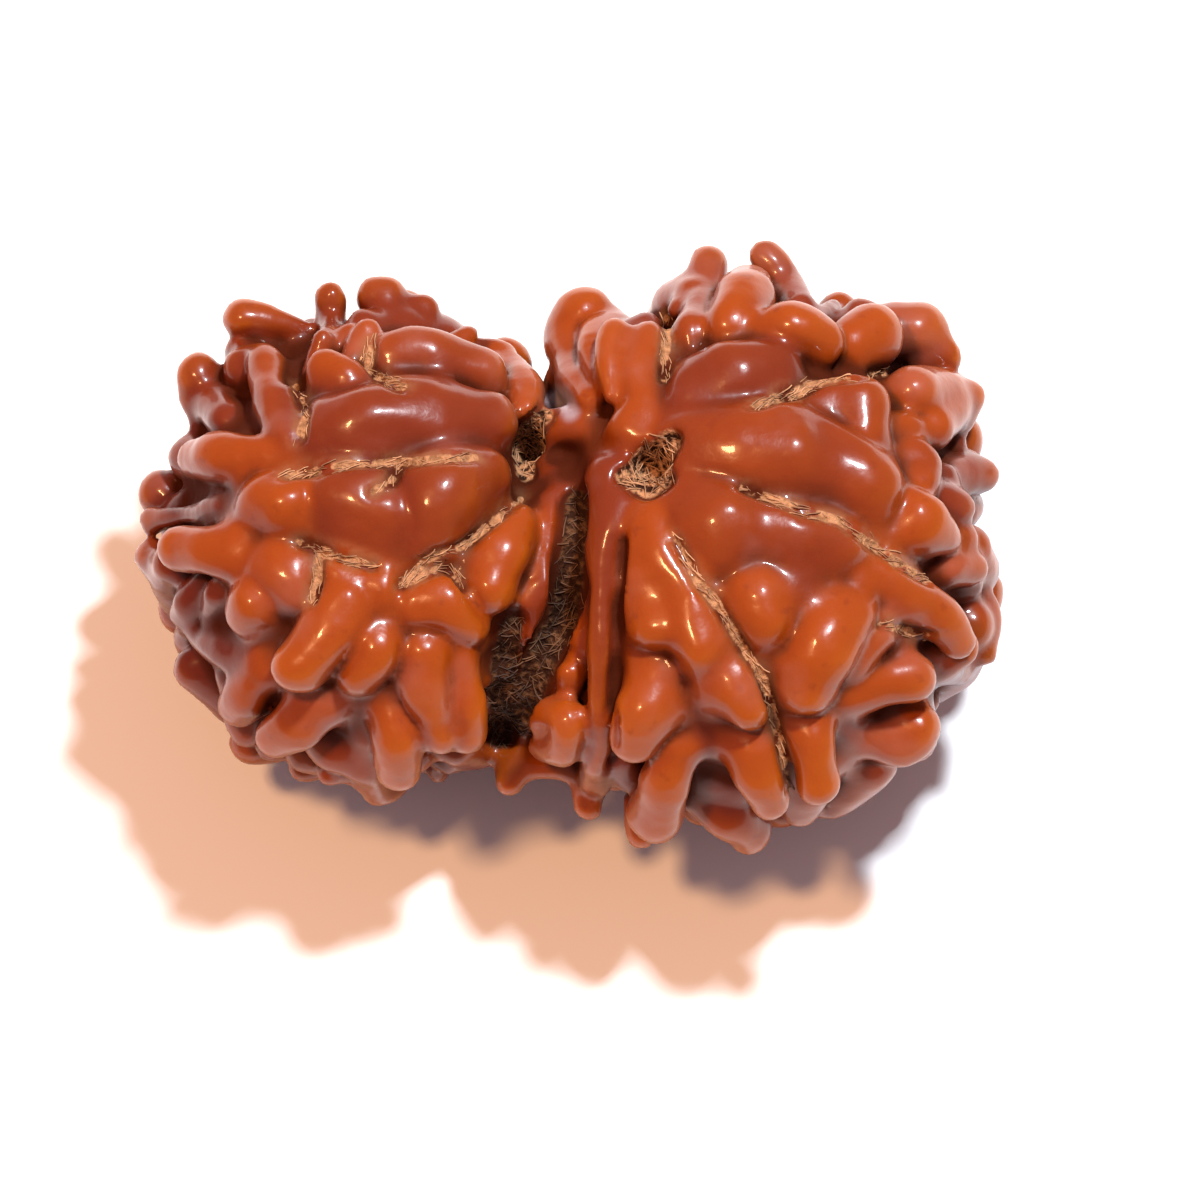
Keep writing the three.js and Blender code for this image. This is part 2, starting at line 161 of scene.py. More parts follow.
# %% Lobes of the larger seed
RIGHT_LOBES = {
    "crown_ridge": [
        (700, 440, 28, 0), (748, 446, 40, 0.1), (790, 452, 44, 0.2), (832, 464, 33, 0), (872, 486, 31, 0.4),
    ],
    "upper_body": [(697, 390, 30, 0), (735, 374, 38, 0.1), (775, 362, 32, 0)],
    "top_middle": [(752, 335, 26, 0.3), (790, 332, 33, 0.7), (822, 344, 27, 0.5)],
    "top_middle_thorn": [(812, 320, 14, 0), (833, 310, 13, 0)],
    "top_right": [(846, 346, 28, 0.2), (870, 338, 34, 0.6)],
    "top_right_thorn": [(922, 368, 20, 0), (944, 358, 18, 0.1)],
    "east_triangle": [(835, 398, 24, 0.1), (858, 402, 32, 0.4), (864, 426, 22, 0.3)],
    "east_block": [(912, 396, 30, 0.4), (938, 400, 31, 0.5), (930, 428, 24, 0.3)],
    "east_stem": [(912, 452, 19, 0.1), (922, 472, 19, 0.2), (912, 498, 19, 0.1)],
    "east_drop": [(905, 508, 21, 0.3), (922, 525, 29, 0.7), (942, 538, 19, 0.5)],
    "east_knob": [(945, 565, 19, 0.1), (967, 568, 16, 0.4)],
    "east_finger": [(968, 592, 19, 0), (984, 622, 21, 0.3), (984, 652, 16, 0.3)],
    "south_crown": [
        (700, 515, 27), (722, 527, 39, 0.2), (760, 532, 31, 0), (800, 536, 33, 0.2), (838, 548, 25, 0.2),
    ],
    "far_ridge": [(862, 566, 15, 0), (902, 590, 20, 0.3), (938, 618, 23, 0.8), (957, 641, 17, 1.2)],
    "small_knob": [(856, 572, 14, 0.1), (861, 592, 14, 0.4)],
    "middle_knob": [(758, 575, 18, 0.1), (757, 600, 28, 0.5), (768, 620, 22, 0.8)],
    "cape": [(848, 615, 28, 0.3), (822, 648, 33, 0.9), (803, 688, 25, 1)],
    "cape_east": [(868, 632, 23, 0.2), (845, 655, 21, 0.4)],
    "east_tongue": [(850, 690, 16, 0.1), (882, 682, 23, 0.4), (912, 678, 25, 0.9)],
    "east_spade": [(868, 735, 18, 0.1), (895, 735, 27, 0.6), (914, 728, 27, 1)],
    "south_east_finger": [(803, 715, 19, 0.3), (811, 748, 21, 1.2), (819, 781, 21, 1.7)],
    "south_knob": [(712, 682, 18, 0.2), (735, 690, 23, 0.8), (750, 712, 18, 1.3)],
    "south_lobe": [(750, 740, 21, 0.3), (760, 770, 26, 1), (769, 800, 18, 1.3)],
    "south_foot": [(700, 790, 18, -0.2), (730, 812, 26, 0.4), (750, 828, 27, 0.9)],
    "south_pillow_west": [(650, 540, 25), (648, 580, 30, 0.3), (655, 625, 29, 0.8)],
    "south_west_finger": [(652, 672, 28, 0.5), (644, 708, 32, 1.2), (634, 740, 26, 1.6)],
    "bright_finger": [(672, 750, 19, 0.8), (663, 785, 27, 1.3), (653, 812, 25, 1.4)],
    "joint_rib_east": [
        (606, 478, 20, 0.3), (610, 520, 16, 0.4), (602, 575, 14, 0.7), (599, 640, 16, 1.0),
        (601, 700, 16, 1.1), (601, 750, 17, 1.1), (594, 788, 17, 1.0),
    ],
    "joint_block": [(545, 716, 21, 1.6), (568, 719, 21, 1.8), (566, 742, 22, 1.9), (547, 744, 21, 1.7)],
    "joint_knob": [(570, 672, 15, 0.8), (570, 688, 15, 0.8)],
    "joint_tip": [(590, 788, 18, 0.4), (589, 804, 16, 0.4)],
    "west_crown": [(648, 348, 28, 0.3), (633, 375, 29, 0.4), (640, 402, 21, 0.2), (625, 428, 15, 0.3)],
    "ear_outer": [(584, 313, 34, 0.4), (572, 338, 33, 0.3), (576, 372, 27, 0.2), (591, 402, 18, 0.3)],
    "ear_middle": [(604, 320, 22, 0.6), (595, 350, 19, 0.6), (604, 390, 13, 0.6)],
    "ear_inner": [(618, 336, 18, 1.2), (610, 366, 17, 1.2), (612, 396, 12, 0.8)],
    "north_thorn_west": [(692, 335, 25, 0.1), (702, 296, 25, 0.2), (708, 264, 21, 0.3)],
    "north_thorn_west_bump": [(680, 312, 19, 0.1), (686, 288, 20, 0.2)],
    "north_thorn_middle": [(737, 330, 36, 0.2), (744, 300, 32, 0.5), (750, 286, 24, 0.6)],
    "north_thorn_middle_bump": [(722, 322, 22, 0.2), (724, 312, 21, 0.3)],
    "north_thorn_east": [(802, 312, 20, 0), (786, 286, 18, 0), (772, 266, 17, 0.1), (763, 256, 15, 0.2)],
}
print(len(RIGHT_LOBES), "lobes placed on the larger seed")

# %% Swells of the larger seed
RIGHT_SWELLS = {
    "south_pillow_east": [(668, 560, 25, 0.2), (688, 605, 35, 0.4), (697, 640, 30, 0.7)],
    "crown_ridge_brow": [(765, 425, 24, 0.2), (830, 445, 22, 0.2), (870, 465, 18, 0.2)],
    "upper_body_root": [(690, 405, 18, 0), (712, 415, 16, 0)],
    "top_right_shelf": [(884, 334, 34, 0.3), (914, 337, 35, 0.5)],
    "east_block_back": [(955, 388, 16, 0), (971, 397, 13, 0.1), (962, 420, 10, 0)],
    "east_edge_a": [(966, 424, 10, -0.5), (953, 448, 12, -0.5)],
    "east_edge_b": [(962, 458, 12, -0.6), (963, 482, 11, -0.6)],
    "east_edge_c": [(942, 478, 16, 0), (950, 505, 12, 0)],
    "east_finger_back": [(978, 575, 14, -0.6), (984, 566, 8, -0.4)],
    "south_crown_toe": [(722, 540, 30, 0.2), (728, 555, 20, 0.2)],
    "far_ridge_under": [(896, 648, 15, -0.3), (932, 662, 21, 0), (957, 668, 18, 0.3)],
    "middle_knob_back": [(790, 580, 20, 0), (800, 612, 20, 0.1)],
    "east_spade_root": [(888, 708, 15, 0), (915, 706, 16, 0.2)],
    "south_east_sheet": [(842, 735, 16, 0), (846, 770, 15, 0.1), (832, 808, 13, 0.2)],
    "south_east_toe": [(800, 800, 17, -0.3), (812, 812, 15, -0.2)],
    "south_east_fold": [(835, 720, 14, -0.3), (860, 728, 14, -0.3)],
    "south_valley": [(668, 712, 15, -0.7), (705, 720, 18, -0.6), (735, 742, 16, -0.5)],
    "south_shadow": [(700, 765, 20, -0.6), (735, 785, 18, -0.4)],
    "south_west_fold": [(655, 680, 17, 0.1), (672, 705, 16, 0)],
    "bright_finger_under": [(634, 800, 15, -0.5), (641, 833, 16, -0.2)],
    "joint_shelf": [(532, 765, 13, 0.3), (560, 768, 13, 0.5), (590, 772, 16, 0.3)],
    "joint_toe": [(516, 752, 18, 0.6), (509, 782, 14, 0.4)],
    "west_crown_brow": [(650, 330, 22, 0), (625, 350, 22, 0)],
    "north_east_fill": [(888, 354, 15, -0.7), (914, 364, 15, -0.7)],
    "ear_flank": [(612, 318, 18, 0), (630, 332, 16, 0)],
}
print(len(RIGHT_SWELLS), "swells placed on the larger seed")

# %% Lobes of the smaller seed
LEFT_LOBES = {
    "joint_east": [(500, 360, 23, 0.3), (521, 382, 22, 0.7), (526, 410, 16, 0.9)],
    "crown_north": [(388, 360, 27), (432, 362, 33, 0.1), (476, 378, 31, 0.2)],
    "crown_middle": [(335, 424, 30, 0), (368, 422, 38, 0.1), (430, 418, 39, 0), (484, 422, 33, 0.2)],
    "crown_south": [(482, 478, 31, 0.2), (442, 498, 48, 0.1), (428, 534, 32, 0.1)],
    "crown_south_west": [(338, 494, 28, 0.1), (368, 502, 29, 0.2), (395, 520, 26, 0.1)],
    "north_west_arch": [(325, 372, 24, 0.2), (346, 378, 21, 0.3)],
    "west_ring": [(264, 498, 21, 0.5), (282, 503, 23, 0.8), (298, 492, 15, 0.5)],
    "west_finger": [(196, 459, 23, 0.4), (230, 458, 24, 0.4), (262, 454, 21, 0.1)],
    "west_thorn": [(201, 376, 24, 0.3), (215, 396, 24, 0.2), (226, 420, 20, 0)],
    "north_west_bend": [
        (238, 352, 18, 0.3), (264, 366, 23, 0.3), (272, 402, 21, 0.2), (280, 432, 18, 0.2),
    ],
    "north_west_paw": [(245, 320, 23, 0.3), (272, 322, 22, 0.3), (305, 330, 19, 0.1)],
    "north_peg": [(329, 301, 23, 0.3), (330, 322, 24, 0.2), (331, 348, 18, 0.1)],
    "north_tooth": [(375, 301, 24, 0.2), (386, 304, 26, 0.3), (384, 326, 23, 0.1)],
    "north_tooth_east": [(408, 314, 20, 0.1), (427, 312, 19, 0.2), (424, 330, 18, 0.1)],
    "north_knob": [(345, 334, 14, 0.3), (355, 338, 13, 0.2)],
    "far_west_thorn": [(152, 519, 14, 0), (190, 515, 14, 0), (225, 508, 13, -0.3)],
    "far_west_finger": [(182, 549, 22, 0.9), (215, 551, 19, 0.7), (252, 556, 13, 0.2)],
    "pit_knob_small": [(216, 594, 10, 0.2), (210, 612, 10, -0.2)],
    "pit_knob_large": [(252, 606, 17, 0.8), (245, 618, 16, 0.5)],
    "pit_bridge": [(262, 562, 15, 0.2), (284, 572, 21, 0.4), (295, 590, 16, 0.3)],
    "long_finger": [(345, 598, 21, 0.5), (326, 638, 26, 1), (298, 667, 24, 1.6)],
    "net_knob": [(338, 574, 16, 0.3), (360, 578, 15, 0.2), (386, 590, 15, 0.4)],
    "south_cape": [(418, 598, 23, 0.4), (444, 598, 26, 0.8), (468, 622, 18, 0.8)],
    "south_east_pillow": [(517, 522, 22, 0.7), (500, 552, 30, 0.9), (489, 584, 29, 1)],
    "south_peg": [(386, 634, 15, 0.2), (374, 654, 21, 0.8), (358, 672, 16, 1)],
    "south_paw_west": [(424, 656, 25, 0.5), (430, 690, 28, 1), (441, 728, 27, 1.3)],
    "south_paw_east": [(452, 664, 22, 0.5), (461, 700, 26, 1.2), (463, 730, 24, 1.4)],
    "south_west_paw": [(262, 668, 20, 0.1), (250, 690, 23, 0.3), (238, 706, 21, 0.5)],
    "south_west_finger": [(318, 708, 23, 0.5), (298, 726, 25, 0.9), (277, 738, 20, 1.0)],
    "south_finger": [(400, 700, 20, 0.4), (399, 738, 27, 1.2), (396, 770, 25, 1.4)],
    "joint_rib_west": [
        (574, 455, 17, 1.2), (554, 505, 18, 1.2), (549, 548, 17, 1.2), (537, 595, 15, 1.3),
        (508, 645, 13, 0.8),
    ],
}
print(len(LEFT_LOBES), "lobes placed on the smaller seed")

# %% Swells of the smaller seed
LEFT_SWELLS = {
    "west_web": [(222, 400, 20, -0.2), (228, 432, 18, -0.3)],
    "joint_east_back": [(462, 342, 15, -0.5), (485, 350, 14, -0.3)],
    "crown_middle_brow": [(345, 400, 18, 0), (440, 392, 22, 0)],
    "crown_south_flank": [(345, 525, 18, 0), (385, 540, 18, 0)],
    "west_finger_under": [(205, 482, 15, -0.5), (240, 478, 14, -0.6)],
    "west_thorn_hollow": [(193, 402, 12, -0.5), (198, 428, 13, -0.6)],
    "north_west_flank": [(292, 395, 14, 0), (290, 430, 14, 0)],
    "far_west_finger_under": [(152, 556, 20, -0.6), (172, 580, 18, -0.9)],
    "pit_edge_west": [(181, 600, 13, -0.4), (185, 624, 14, -0.5)],
    "pit_edge_south": [(205, 636, 16, -0.2), (230, 650, 18, -0.1), (248, 655, 16, 0)],
    "south_paw_toe": [(473, 690, 12, 0.6), (472, 720, 11, 0.8)],
    "south_west_finger_under": [(282, 722, 15, -0.7), (262, 742, 14, -0.4)],
    "south_finger_under": [(366, 735, 18, 0), (368, 765, 21, 0.3), (374, 788, 18, 0.3)],
    "north_west_fill": [(262, 343, 18, -0.2), (290, 350, 18, -0.2), (325, 346, 18, -0.3)],
    "south_hollow": [(318, 728, 14, -1.0), (355, 738, 15, -0.9), (350, 710, 15, -0.8)],
    "south_heel": [(425, 752, 18, -0.6), (445, 764, 16, -0.5)],
    "joint_web": [(552, 412, 17, 0.8), (578, 425, 19, 1.0), (590, 448, 19, 1.2), (584, 472, 16, 1.0)],
}
print(len(LEFT_SWELLS), "swells placed on the smaller seed")

# %% [markdown]
# ## The lobes that don't show
# The sides and the underside aren't in the picture, and there a rule grows the lobes instead. Points are
# spread evenly over the core by the golden angle, as seeds lie in a sunflower's head, and squeezed
# towards the middle of each face so that a line stays free between faces. From each point a lobe runs
# away from the lower pit and lifts its far end. The draws are a fixed formula, so every run is the same.
# Every lobe also gets a tone. The more a lobe that shows stands out, the lighter it has been rubbed, and
# one that doesn't show just draws its tone.

# %% Lobes by rule
HIDDEN_AREA = 20.0
HIDDEN_HALF_WIDTH = 1.35
HIDDEN_REACH = 2.4
HIDDEN_FACING = 0.05
HIDDEN_TIP_LIFT = 0.9
HIDDEN_SWAY = 0.7
HIDDEN_TAPER = np.array([0.85, 1.0, 0.8])
FACE_SQUEEZE = 0.8
FACE_DRIFT = 0.3
HIDDEN_SEEDS = {"right": 100, "left": 500}
GOLDEN_ANGLE = math.pi * (3 - math.sqrt(5))
LOBE_MELT = 0.50
SWELL_MELT = 0.60
CROWN_TONE = 0.15
LIFT_TONE = 1.3
LIFT_TONE_CAP = 0.6
TONE_DRAW = 0.28


def draw(seed):
    """The same number from 0 to 1 for the same seed."""
    s = math.sin(seed * 12.9898 + 4.1414) * 43758.5453
    return s - math.floor(s)


def unit(vector):
    """A vector's direction, with length 1."""
    return vector / np.linalg.norm(vector)


def turned(vector, axis, angle):
    """A vector turned round a unit axis."""
    flat = vector * math.cos(angle) + np.cross(axis, vector) * math.sin(angle)
    return flat + axis * (axis @ vector) * (1 - math.cos(angle))


def make_lobe(points, halves, melt, tone):
    """A lobe: its spine, the half width at each point, how softly it melts in and how light it is."""
    return {"points": np.array(points), "halves": np.array(halves), "melt": melt, "tone": tone}


def seen_lobes(core, table, melt):
    """The lobes of a table, each with its spine, its half widths, its melt and its tone."""
    lobes = []
    for name, spine in table.items():
        rows = [(*row, 0.0)[:4] for row in spine]
        points = [seen_point(core, x, y, LIFT + lift) for x, y, _, lift in rows]
        halves = [half / PIXELS_PER_MM for _, _, half, _ in rows]
        lift = min(LIFT_TONE_CAP, sum(row[3] for row in rows) / len(rows))
        if name.startswith("joint_rib"):
            lift = 0.0
        tone = CROWN_TONE + LIFT_TONE * lift + TONE_DRAW * draw(rows[0][0] + rows[0][1])
        lobes.append(make_lobe(points, halves, melt, tone))
    return lobes


def hidden_lobes(core, other, first_seed):
    """Lobes in even rows between the faces, wherever the eye doesn't see the core."""
    pit = unit(core["lower_pit"])
    side = np.array([0.0, 1.0, 0.0])
    across = np.cross(pit, side)
    count = round(4 * math.pi * np.prod(core["half"]) ** (2 / 3) / HIDDEN_AREA)
    face_turn = 2 * math.pi / core["faces"]
    lobes = []
    for i in range(1, count):
        seed = first_seed + i
        towards_pit = 1 - (2 * i + 0.5 + draw(seed)) / count
        face = i * GOLDEN_ANGLE / face_turn + FACE_DRIFT * draw(seed + 0.1)
        turn = face_turn * (math.floor(face) + 0.5 + FACE_SQUEEZE * (face - math.floor(face) - 0.5))
        ring = math.sqrt(1 - towards_pit ** 2)
        outward = pit * towards_pit + ring * (side * math.cos(turn) + across * math.sin(turn))
        middle = on_core(core, core["middle"] + outward, LIFT)
        normal = core_normal(core, middle)
        facing = normal @ view_back
        in_other = np.linalg.norm((middle - other["middle"]) / other["half"]) < 1
        if facing > HIDDEN_FACING or in_other:
            continue
        away = turned(unit(normal * (pit @ normal) - pit), normal, HIDDEN_SWAY * (draw(seed + 0.2) - 0.5))
        reach = HIDDEN_REACH * (0.8 + 0.4 * draw(seed + 0.3))
        half = HIDDEN_HALF_WIDTH * (0.85 + 0.3 * draw(seed + 0.4))
        tip_lift = HIDDEN_TIP_LIFT * min(1.0, max(-0.5, -3 * facing))
        root = on_core(core, middle - reach * away, LIFT)
        tip = on_core(core, middle + reach * away, LIFT + tip_lift)
        lobes.append(make_lobe([root, middle, tip], half * HIDDEN_TAPER, LOBE_MELT, draw(seed + 0.7)))
    return lobes


lobes = (
    seen_lobes(CORES["right"], RIGHT_SWELLS, SWELL_MELT)
    + seen_lobes(CORES["left"], LEFT_SWELLS, SWELL_MELT)
    + hidden_lobes(CORES["right"], CORES["left"], HIDDEN_SEEDS["right"])
    + hidden_lobes(CORES["left"], CORES["right"], HIDDEN_SEEDS["left"])
    + seen_lobes(CORES["right"], RIGHT_LOBES, LOBE_MELT)
    + seen_lobes(CORES["left"], LEFT_LOBES, LOBE_MELT)
)
print(len(lobes), "lobes and swells")

# %% [markdown]
# ## Filling the gaps
# Grown rind leaves no bare patches, so a last round looks for room. Many places are tried round each
# core, again by the golden angle, and wherever no lobe is near, a short one is put in that is only as
# thick as the gap allows. It points away from the nearer pit, as its neighbours do.

# %% Fillers
FILLER_TRIES = 320
FILLER_FACING = 0.6
FILLER_ROOM = 0.2
FILLER_HALF = (0.55, 1.2)
FILLER_GROWTH = 0.7
FILLER_TIP_LIFT = 0.7
FILLER_ROOT_SINK = 0.3
FILLER_SWAY = 1.2
FILLER_TAPER = np.array([0.9, 1.0, 0.85])
FILLER_SEEDS = {"right": 900, "left": 1300}
JOINT_CLEARANCE = 1.22
FAR = 9.0


def spine_room(point, lobes):
    """How far a point is from the nearest spine's flank."""
    room = FAR
    for lobe in lobes:
        starts, ends = lobe["points"][:-1], lobe["points"][1:]
        along = ends - starts
        share = np.clip(((point - starts) * along).sum(1) / (along ** 2).sum(1), 0, 1)
        away = np.linalg.norm(starts + share[:, None] * along - point, axis=1)
        halves = lobe["halves"][:-1] + share * (lobe["halves"][1:] - lobe["halves"][:-1])
        room = min(room, (away - halves).min())
    return room


def filler_lobes(core, other, grown, first_seed):
    """Short lobes wherever the grown ones leave room on a core."""
    pit = unit(core["lower_pit"])
    side = np.array([0.0, 1.0, 0.0])
    across = np.cross(pit, side)
    fillers = []
    for i in range(FILLER_TRIES):
        seed = first_seed + i
        towards_pit = 1 - (2 * i + 1) / FILLER_TRIES
        turn = i * GOLDEN_ANGLE
        ring = math.sqrt(1 - towards_pit ** 2)
        outward = pit * towards_pit + ring * (side * math.cos(turn) + across * math.sin(turn))
        middle = on_core(core, core["middle"] + outward, LIFT)
        normal = core_normal(core, middle)
        in_other = np.linalg.norm((middle - other["middle"]) / other["half"]) < JOINT_CLEARANCE
        room = spine_room(middle, grown + fillers)
        if normal @ view_back > FILLER_FACING or in_other or room < FILLER_ROOM:
            continue
        downhill = unit(normal * (pit @ normal) - pit) * (-1 if towards_pit < 0 else 1)
        away = turned(downhill, normal, FILLER_SWAY * (draw(seed + 0.2) - 0.5))
        half = min(FILLER_HALF[1], FILLER_HALF[0] + FILLER_GROWTH * room)
        reach = half * (0.6 + 0.7 * draw(seed + 0.3))
        root = on_core(core, middle - reach * away, LIFT - FILLER_ROOT_SINK)
        tip = on_core(core, middle + reach * away, LIFT + FILLER_TIP_LIFT * draw(seed + 0.5))
        fillers.append(make_lobe([root, middle, tip], half * FILLER_TAPER, LOBE_MELT, draw(seed + 0.7)))
    return fillers


fillers = filler_lobes(CORES["right"], CORES["left"], lobes, FILLER_SEEDS["right"])
fillers += filler_lobes(CORES["left"], CORES["right"], lobes, FILLER_SEEDS["left"])
lobes = fillers + lobes
print(len(fillers), "fillers")

# %% [markdown]
# ## Growing the skin
# Tubes joined by a Boolean would keep hard seams, and instanced lobes would sit on the core like beads on
# a cake. Grown wood has neither, so the seed is described by distance instead: a lattice of points fills
# its box, and each holds how far it is from the nearest lobe. Two distances mix smoothly where they are
# close, which leaves a small fillet in every crease, and the skin is wherever the distance is zero.

# %% The lattice
STEP = 0.22
MARGIN = 1.0
WAIST_MELT = 0.6
TINY = 1e-6

lattice_low = box_low - MARGIN
counts = np.ceil((box_high - box_low + 2 * MARGIN) / STEP).astype(int) + 1
axis_points = [lattice_low[k] + STEP * np.arange(counts[k]) for k in range(3)]


def lattice_positions(window):
    """The positions of the lattice points in a window of slices."""
    parts = [axis_points[k][window[k]] for k in range(3)]
    return np.stack(np.meshgrid(*parts, indexing="ij"), axis=-1).astype(np.float32)


def melted(first, second, width):
    """The smaller of two distances, rounded off where they are closer than the width."""
    share = np.clip(0.5 + 0.5 * (second - first) / width, 0, 1)
    return second + share * (first - second) - width * share * (1 - share)


def ellipsoid_distance(points, middle, half, turn=0.0):
    """About how far points are outside an ellipsoid that is turned about the vertical."""
    local = points - middle
    x = local[..., 0] * math.cos(turn) + local[..., 1] * math.sin(turn)
    y = local[..., 1] * math.cos(turn) - local[..., 0] * math.sin(turn)
    local = np.stack([x, y, local[..., 2]], axis=-1)
    near = np.linalg.norm(local / half, axis=-1)
    steep = np.linalg.norm(local / half ** 2, axis=-1)
    return near * (near - 1) / np.maximum(steep, TINY)


everywhere = (slice(None),) * 3
positions = lattice_positions(everywhere)
core_distance = {name: ellipsoid_distance(positions, c["middle"], c["half"]) for name, c in CORES.items()}
waist = ellipsoid_distance(positions, JOINT_MIDDLE, JOINT_HALF, JOINT_TURN)
bare = melted(np.minimum(*core_distance.values()), waist, WAIST_MELT)
print("lattice of", counts, "points,", bare.size, "in all")

# %% [markdown]
# Each lobe is a smooth curve through its few points with a round section that changes width along it.
# Only the part of the lattice round a lobe is worked on, or hundreds of lobes would take minutes. Two
# more things are kept on the way: the distances of the two nearest lobes, which show where a crease
# belongs, and a mean of the lobes' tones, so that the colour changes from lobe to lobe without a seam.

# %% Lobes into the distance
SPAN_STEPS = 5
REACH = 1.6
TONE_SPREAD = 0.35
BARE_TONE = 0.5
BARE_WEIGHT = 1e-3


def spine_samples(points, halves):
    """Points and half widths along a smooth curve through a spine's points."""
    ends = np.vstack([2 * points[0] - points[1], points, 2 * points[-1] - points[-2]])
    samples = []
    for i in range(len(points) - 1):
        p0, p1, p2, p3 = ends[i:i + 4]
        for t in np.arange(SPAN_STEPS) / SPAN_STEPS:
            curve = 2 * p1 + (p2 - p0) * t + (2 * p0 - 5 * p1 + 4 * p2 - p3) * t ** 2
            curve = 0.5 * (curve + (3 * p1 - p0 - 3 * p2 + p3) * t ** 3)
            samples.append((*curve, halves[i] + t * (halves[i + 1] - halves[i])))
    samples.append((*points[-1], halves[-1]))
    return np.array(samples, dtype=np.float32)


def spine_distance(points, samples):
    """The distance of points from a tube that changes width along its spine."""
    nearest = np.full(points.shape[:-1], np.inf, dtype=np.float32)
    for (ax, ay, az, a_half), (bx, by, bz, b_half) in zip(samples[:-1], samples[1:]):
        start = np.array([ax, ay, az], dtype=np.float32)
        along = np.array([bx, by, bz], dtype=np.float32) - start
        local = points - start
        t = np.clip(local @ along / (along @ along), 0, 1)
        distance = np.linalg.norm(local - t[..., None] * along, axis=-1)
        nearest = np.minimum(nearest, distance - a_half - t * (b_half - a_half))
    return nearest


def window_round(samples, reach):
    """The slices of the lattice that hold a tube and the room around it."""
    room = samples[:, 3].max() + reach
    low = np.floor((samples[:, :3].min(0) - room - lattice_low) / STEP).astype(int)
    high = np.ceil((samples[:, :3].max(0) + room - lattice_low) / STEP).astype(int) + 1
    return tuple(slice(max(0, a), min(n, b)) for a, b, n in zip(low, high, counts))


lobe_field = np.full(bare.shape, FAR, dtype=np.float32)
first_near = np.full(bare.shape, REACH, dtype=np.float32)
second_near = first_near.copy()
tone_sum = np.full(bare.shape, BARE_TONE * BARE_WEIGHT, dtype=np.float32)
tone_weight = np.full(bare.shape, BARE_WEIGHT, dtype=np.float32)
for lobe in lobes:
    samples = spine_samples(lobe["points"], lobe["halves"])
    window = window_round(samples, REACH)
    distance = spine_distance(lattice_positions(window), samples)
    lobe_field[window] = melted(lobe_field[window], distance, lobe["melt"])
    if lobe["melt"] == LOBE_MELT:
        later = np.maximum(first_near[window], distance)
        second_near[window] = np.minimum(second_near[window], later)
        first_near[window] = np.minimum(first_near[window], distance)
    weight = np.exp(-np.clip(distance, -1, REACH) / TONE_SPREAD)
    tone_sum[window] += weight * lobe["tone"]
    tone_weight[window] += weight
print("lobes fill", round(float((lobe_field < 0).mean()), 3), "of the box")

# %% [markdown]
# ## Fusing the lobes
# On a real seed no lobe stands on bare ground. The rind between them has swollen too, so they rise out
# of it on wide skirts, and only a fine crease shows where two of them have met. The core is grown by
# the ground's height for that, the lobes melt into it over a wide fillet, and a crease is pressed in
# wherever two lobes are equally near. Three soft noises keep any stretch from being perfectly round.

# %% Ground, creases and unevenness
GROUND_TOP = 1.0
GROUND_SIDE = 0.30
MELT_TOP = 1.6
MELT_SIDE = 0.65
TOP_FROM = 0.55
TOP_SPAN = 0.3
TRIM = 0.35
TRIM_FROM = 16.0
TRIM_SPAN = 2.5
CREASE_DEPTH = 0.32
CREASE_HALF = 0.30
CREASE_BELOW = 0.1
CREASE_REACH = 1.2
UNEVEN = {8: 0.09, 4: 0.09, 2: 0.03}
UNEVEN_SEED = 11


def blurred(values, cells, rounds=2):
    """Values averaged over a box of cells each way, again and again."""
    for _ in range(rounds):
        for axis in range(3):
            width = [(0, 0)] * 3
            width[axis] = (cells + 1, cells)
            sums = np.cumsum(np.pad(values, width, mode="edge"), axis=axis, dtype=np.float64)
            n = values.shape[axis]
            high = np.take(sums, np.arange(2 * cells + 1, 2 * cells + 1 + n), axis=axis)
            low = np.take(sums, np.arange(0, n), axis=axis)
            values = ((high - low) / (2 * cells + 1)).astype(np.float32)
    return values


slopes = {name: (positions - c["middle"]) / c["half"] ** 2 for name, c in CORES.items()}
facing = {name: (s @ view_back) / np.linalg.norm(s, axis=-1) for name, s in slopes.items()}
nearer = core_distance["right"] < core_distance["left"]
facing = np.where(nearer, facing["right"], facing["left"])
top_share = np.clip((facing - TOP_FROM) / TOP_SPAN, 0, 1)
top_share = top_share ** 2 * (3 - 2 * top_share)
ground = GROUND_SIDE + (GROUND_TOP - GROUND_SIDE) * top_share
field = melted(bare - ground, lobe_field, MELT_SIDE + (MELT_TOP - MELT_SIDE) * top_share)
field += TRIM * np.clip((positions[..., 2] - TRIM_FROM) / TRIM_SPAN, 0, 1)
field = 0.5 * (field + blurred(field, 1, 1))
meeting = np.exp(-((second_near - first_near) / CREASE_HALF) ** 2)
meeting *= np.clip(1 - np.abs(first_near + CREASE_BELOW) / CREASE_REACH, 0, 1)
field += CREASE_DEPTH * blurred(meeting, 1, 1)
rng = np.random.default_rng(UNEVEN_SEED)
for cells, depth in UNEVEN.items():
    rough = blurred(rng.standard_normal(field.shape).astype(np.float32), cells, 2)
    field += depth * rough / rough.std()
print("solid share of the box", round(float((field < 0).mean()), 3))

# %% [markdown]
# ## Grooves, pits and the flat it rests on
# The lines between faces hold the last of the fruit's fibre. They are picked in the picture as the lobes
# are, and each point is dropped along its sight line onto the skin grown so far. A thin channel is then
# cut along them, the stem pits are hollowed out, and the lowest lobes are cut level with the table.

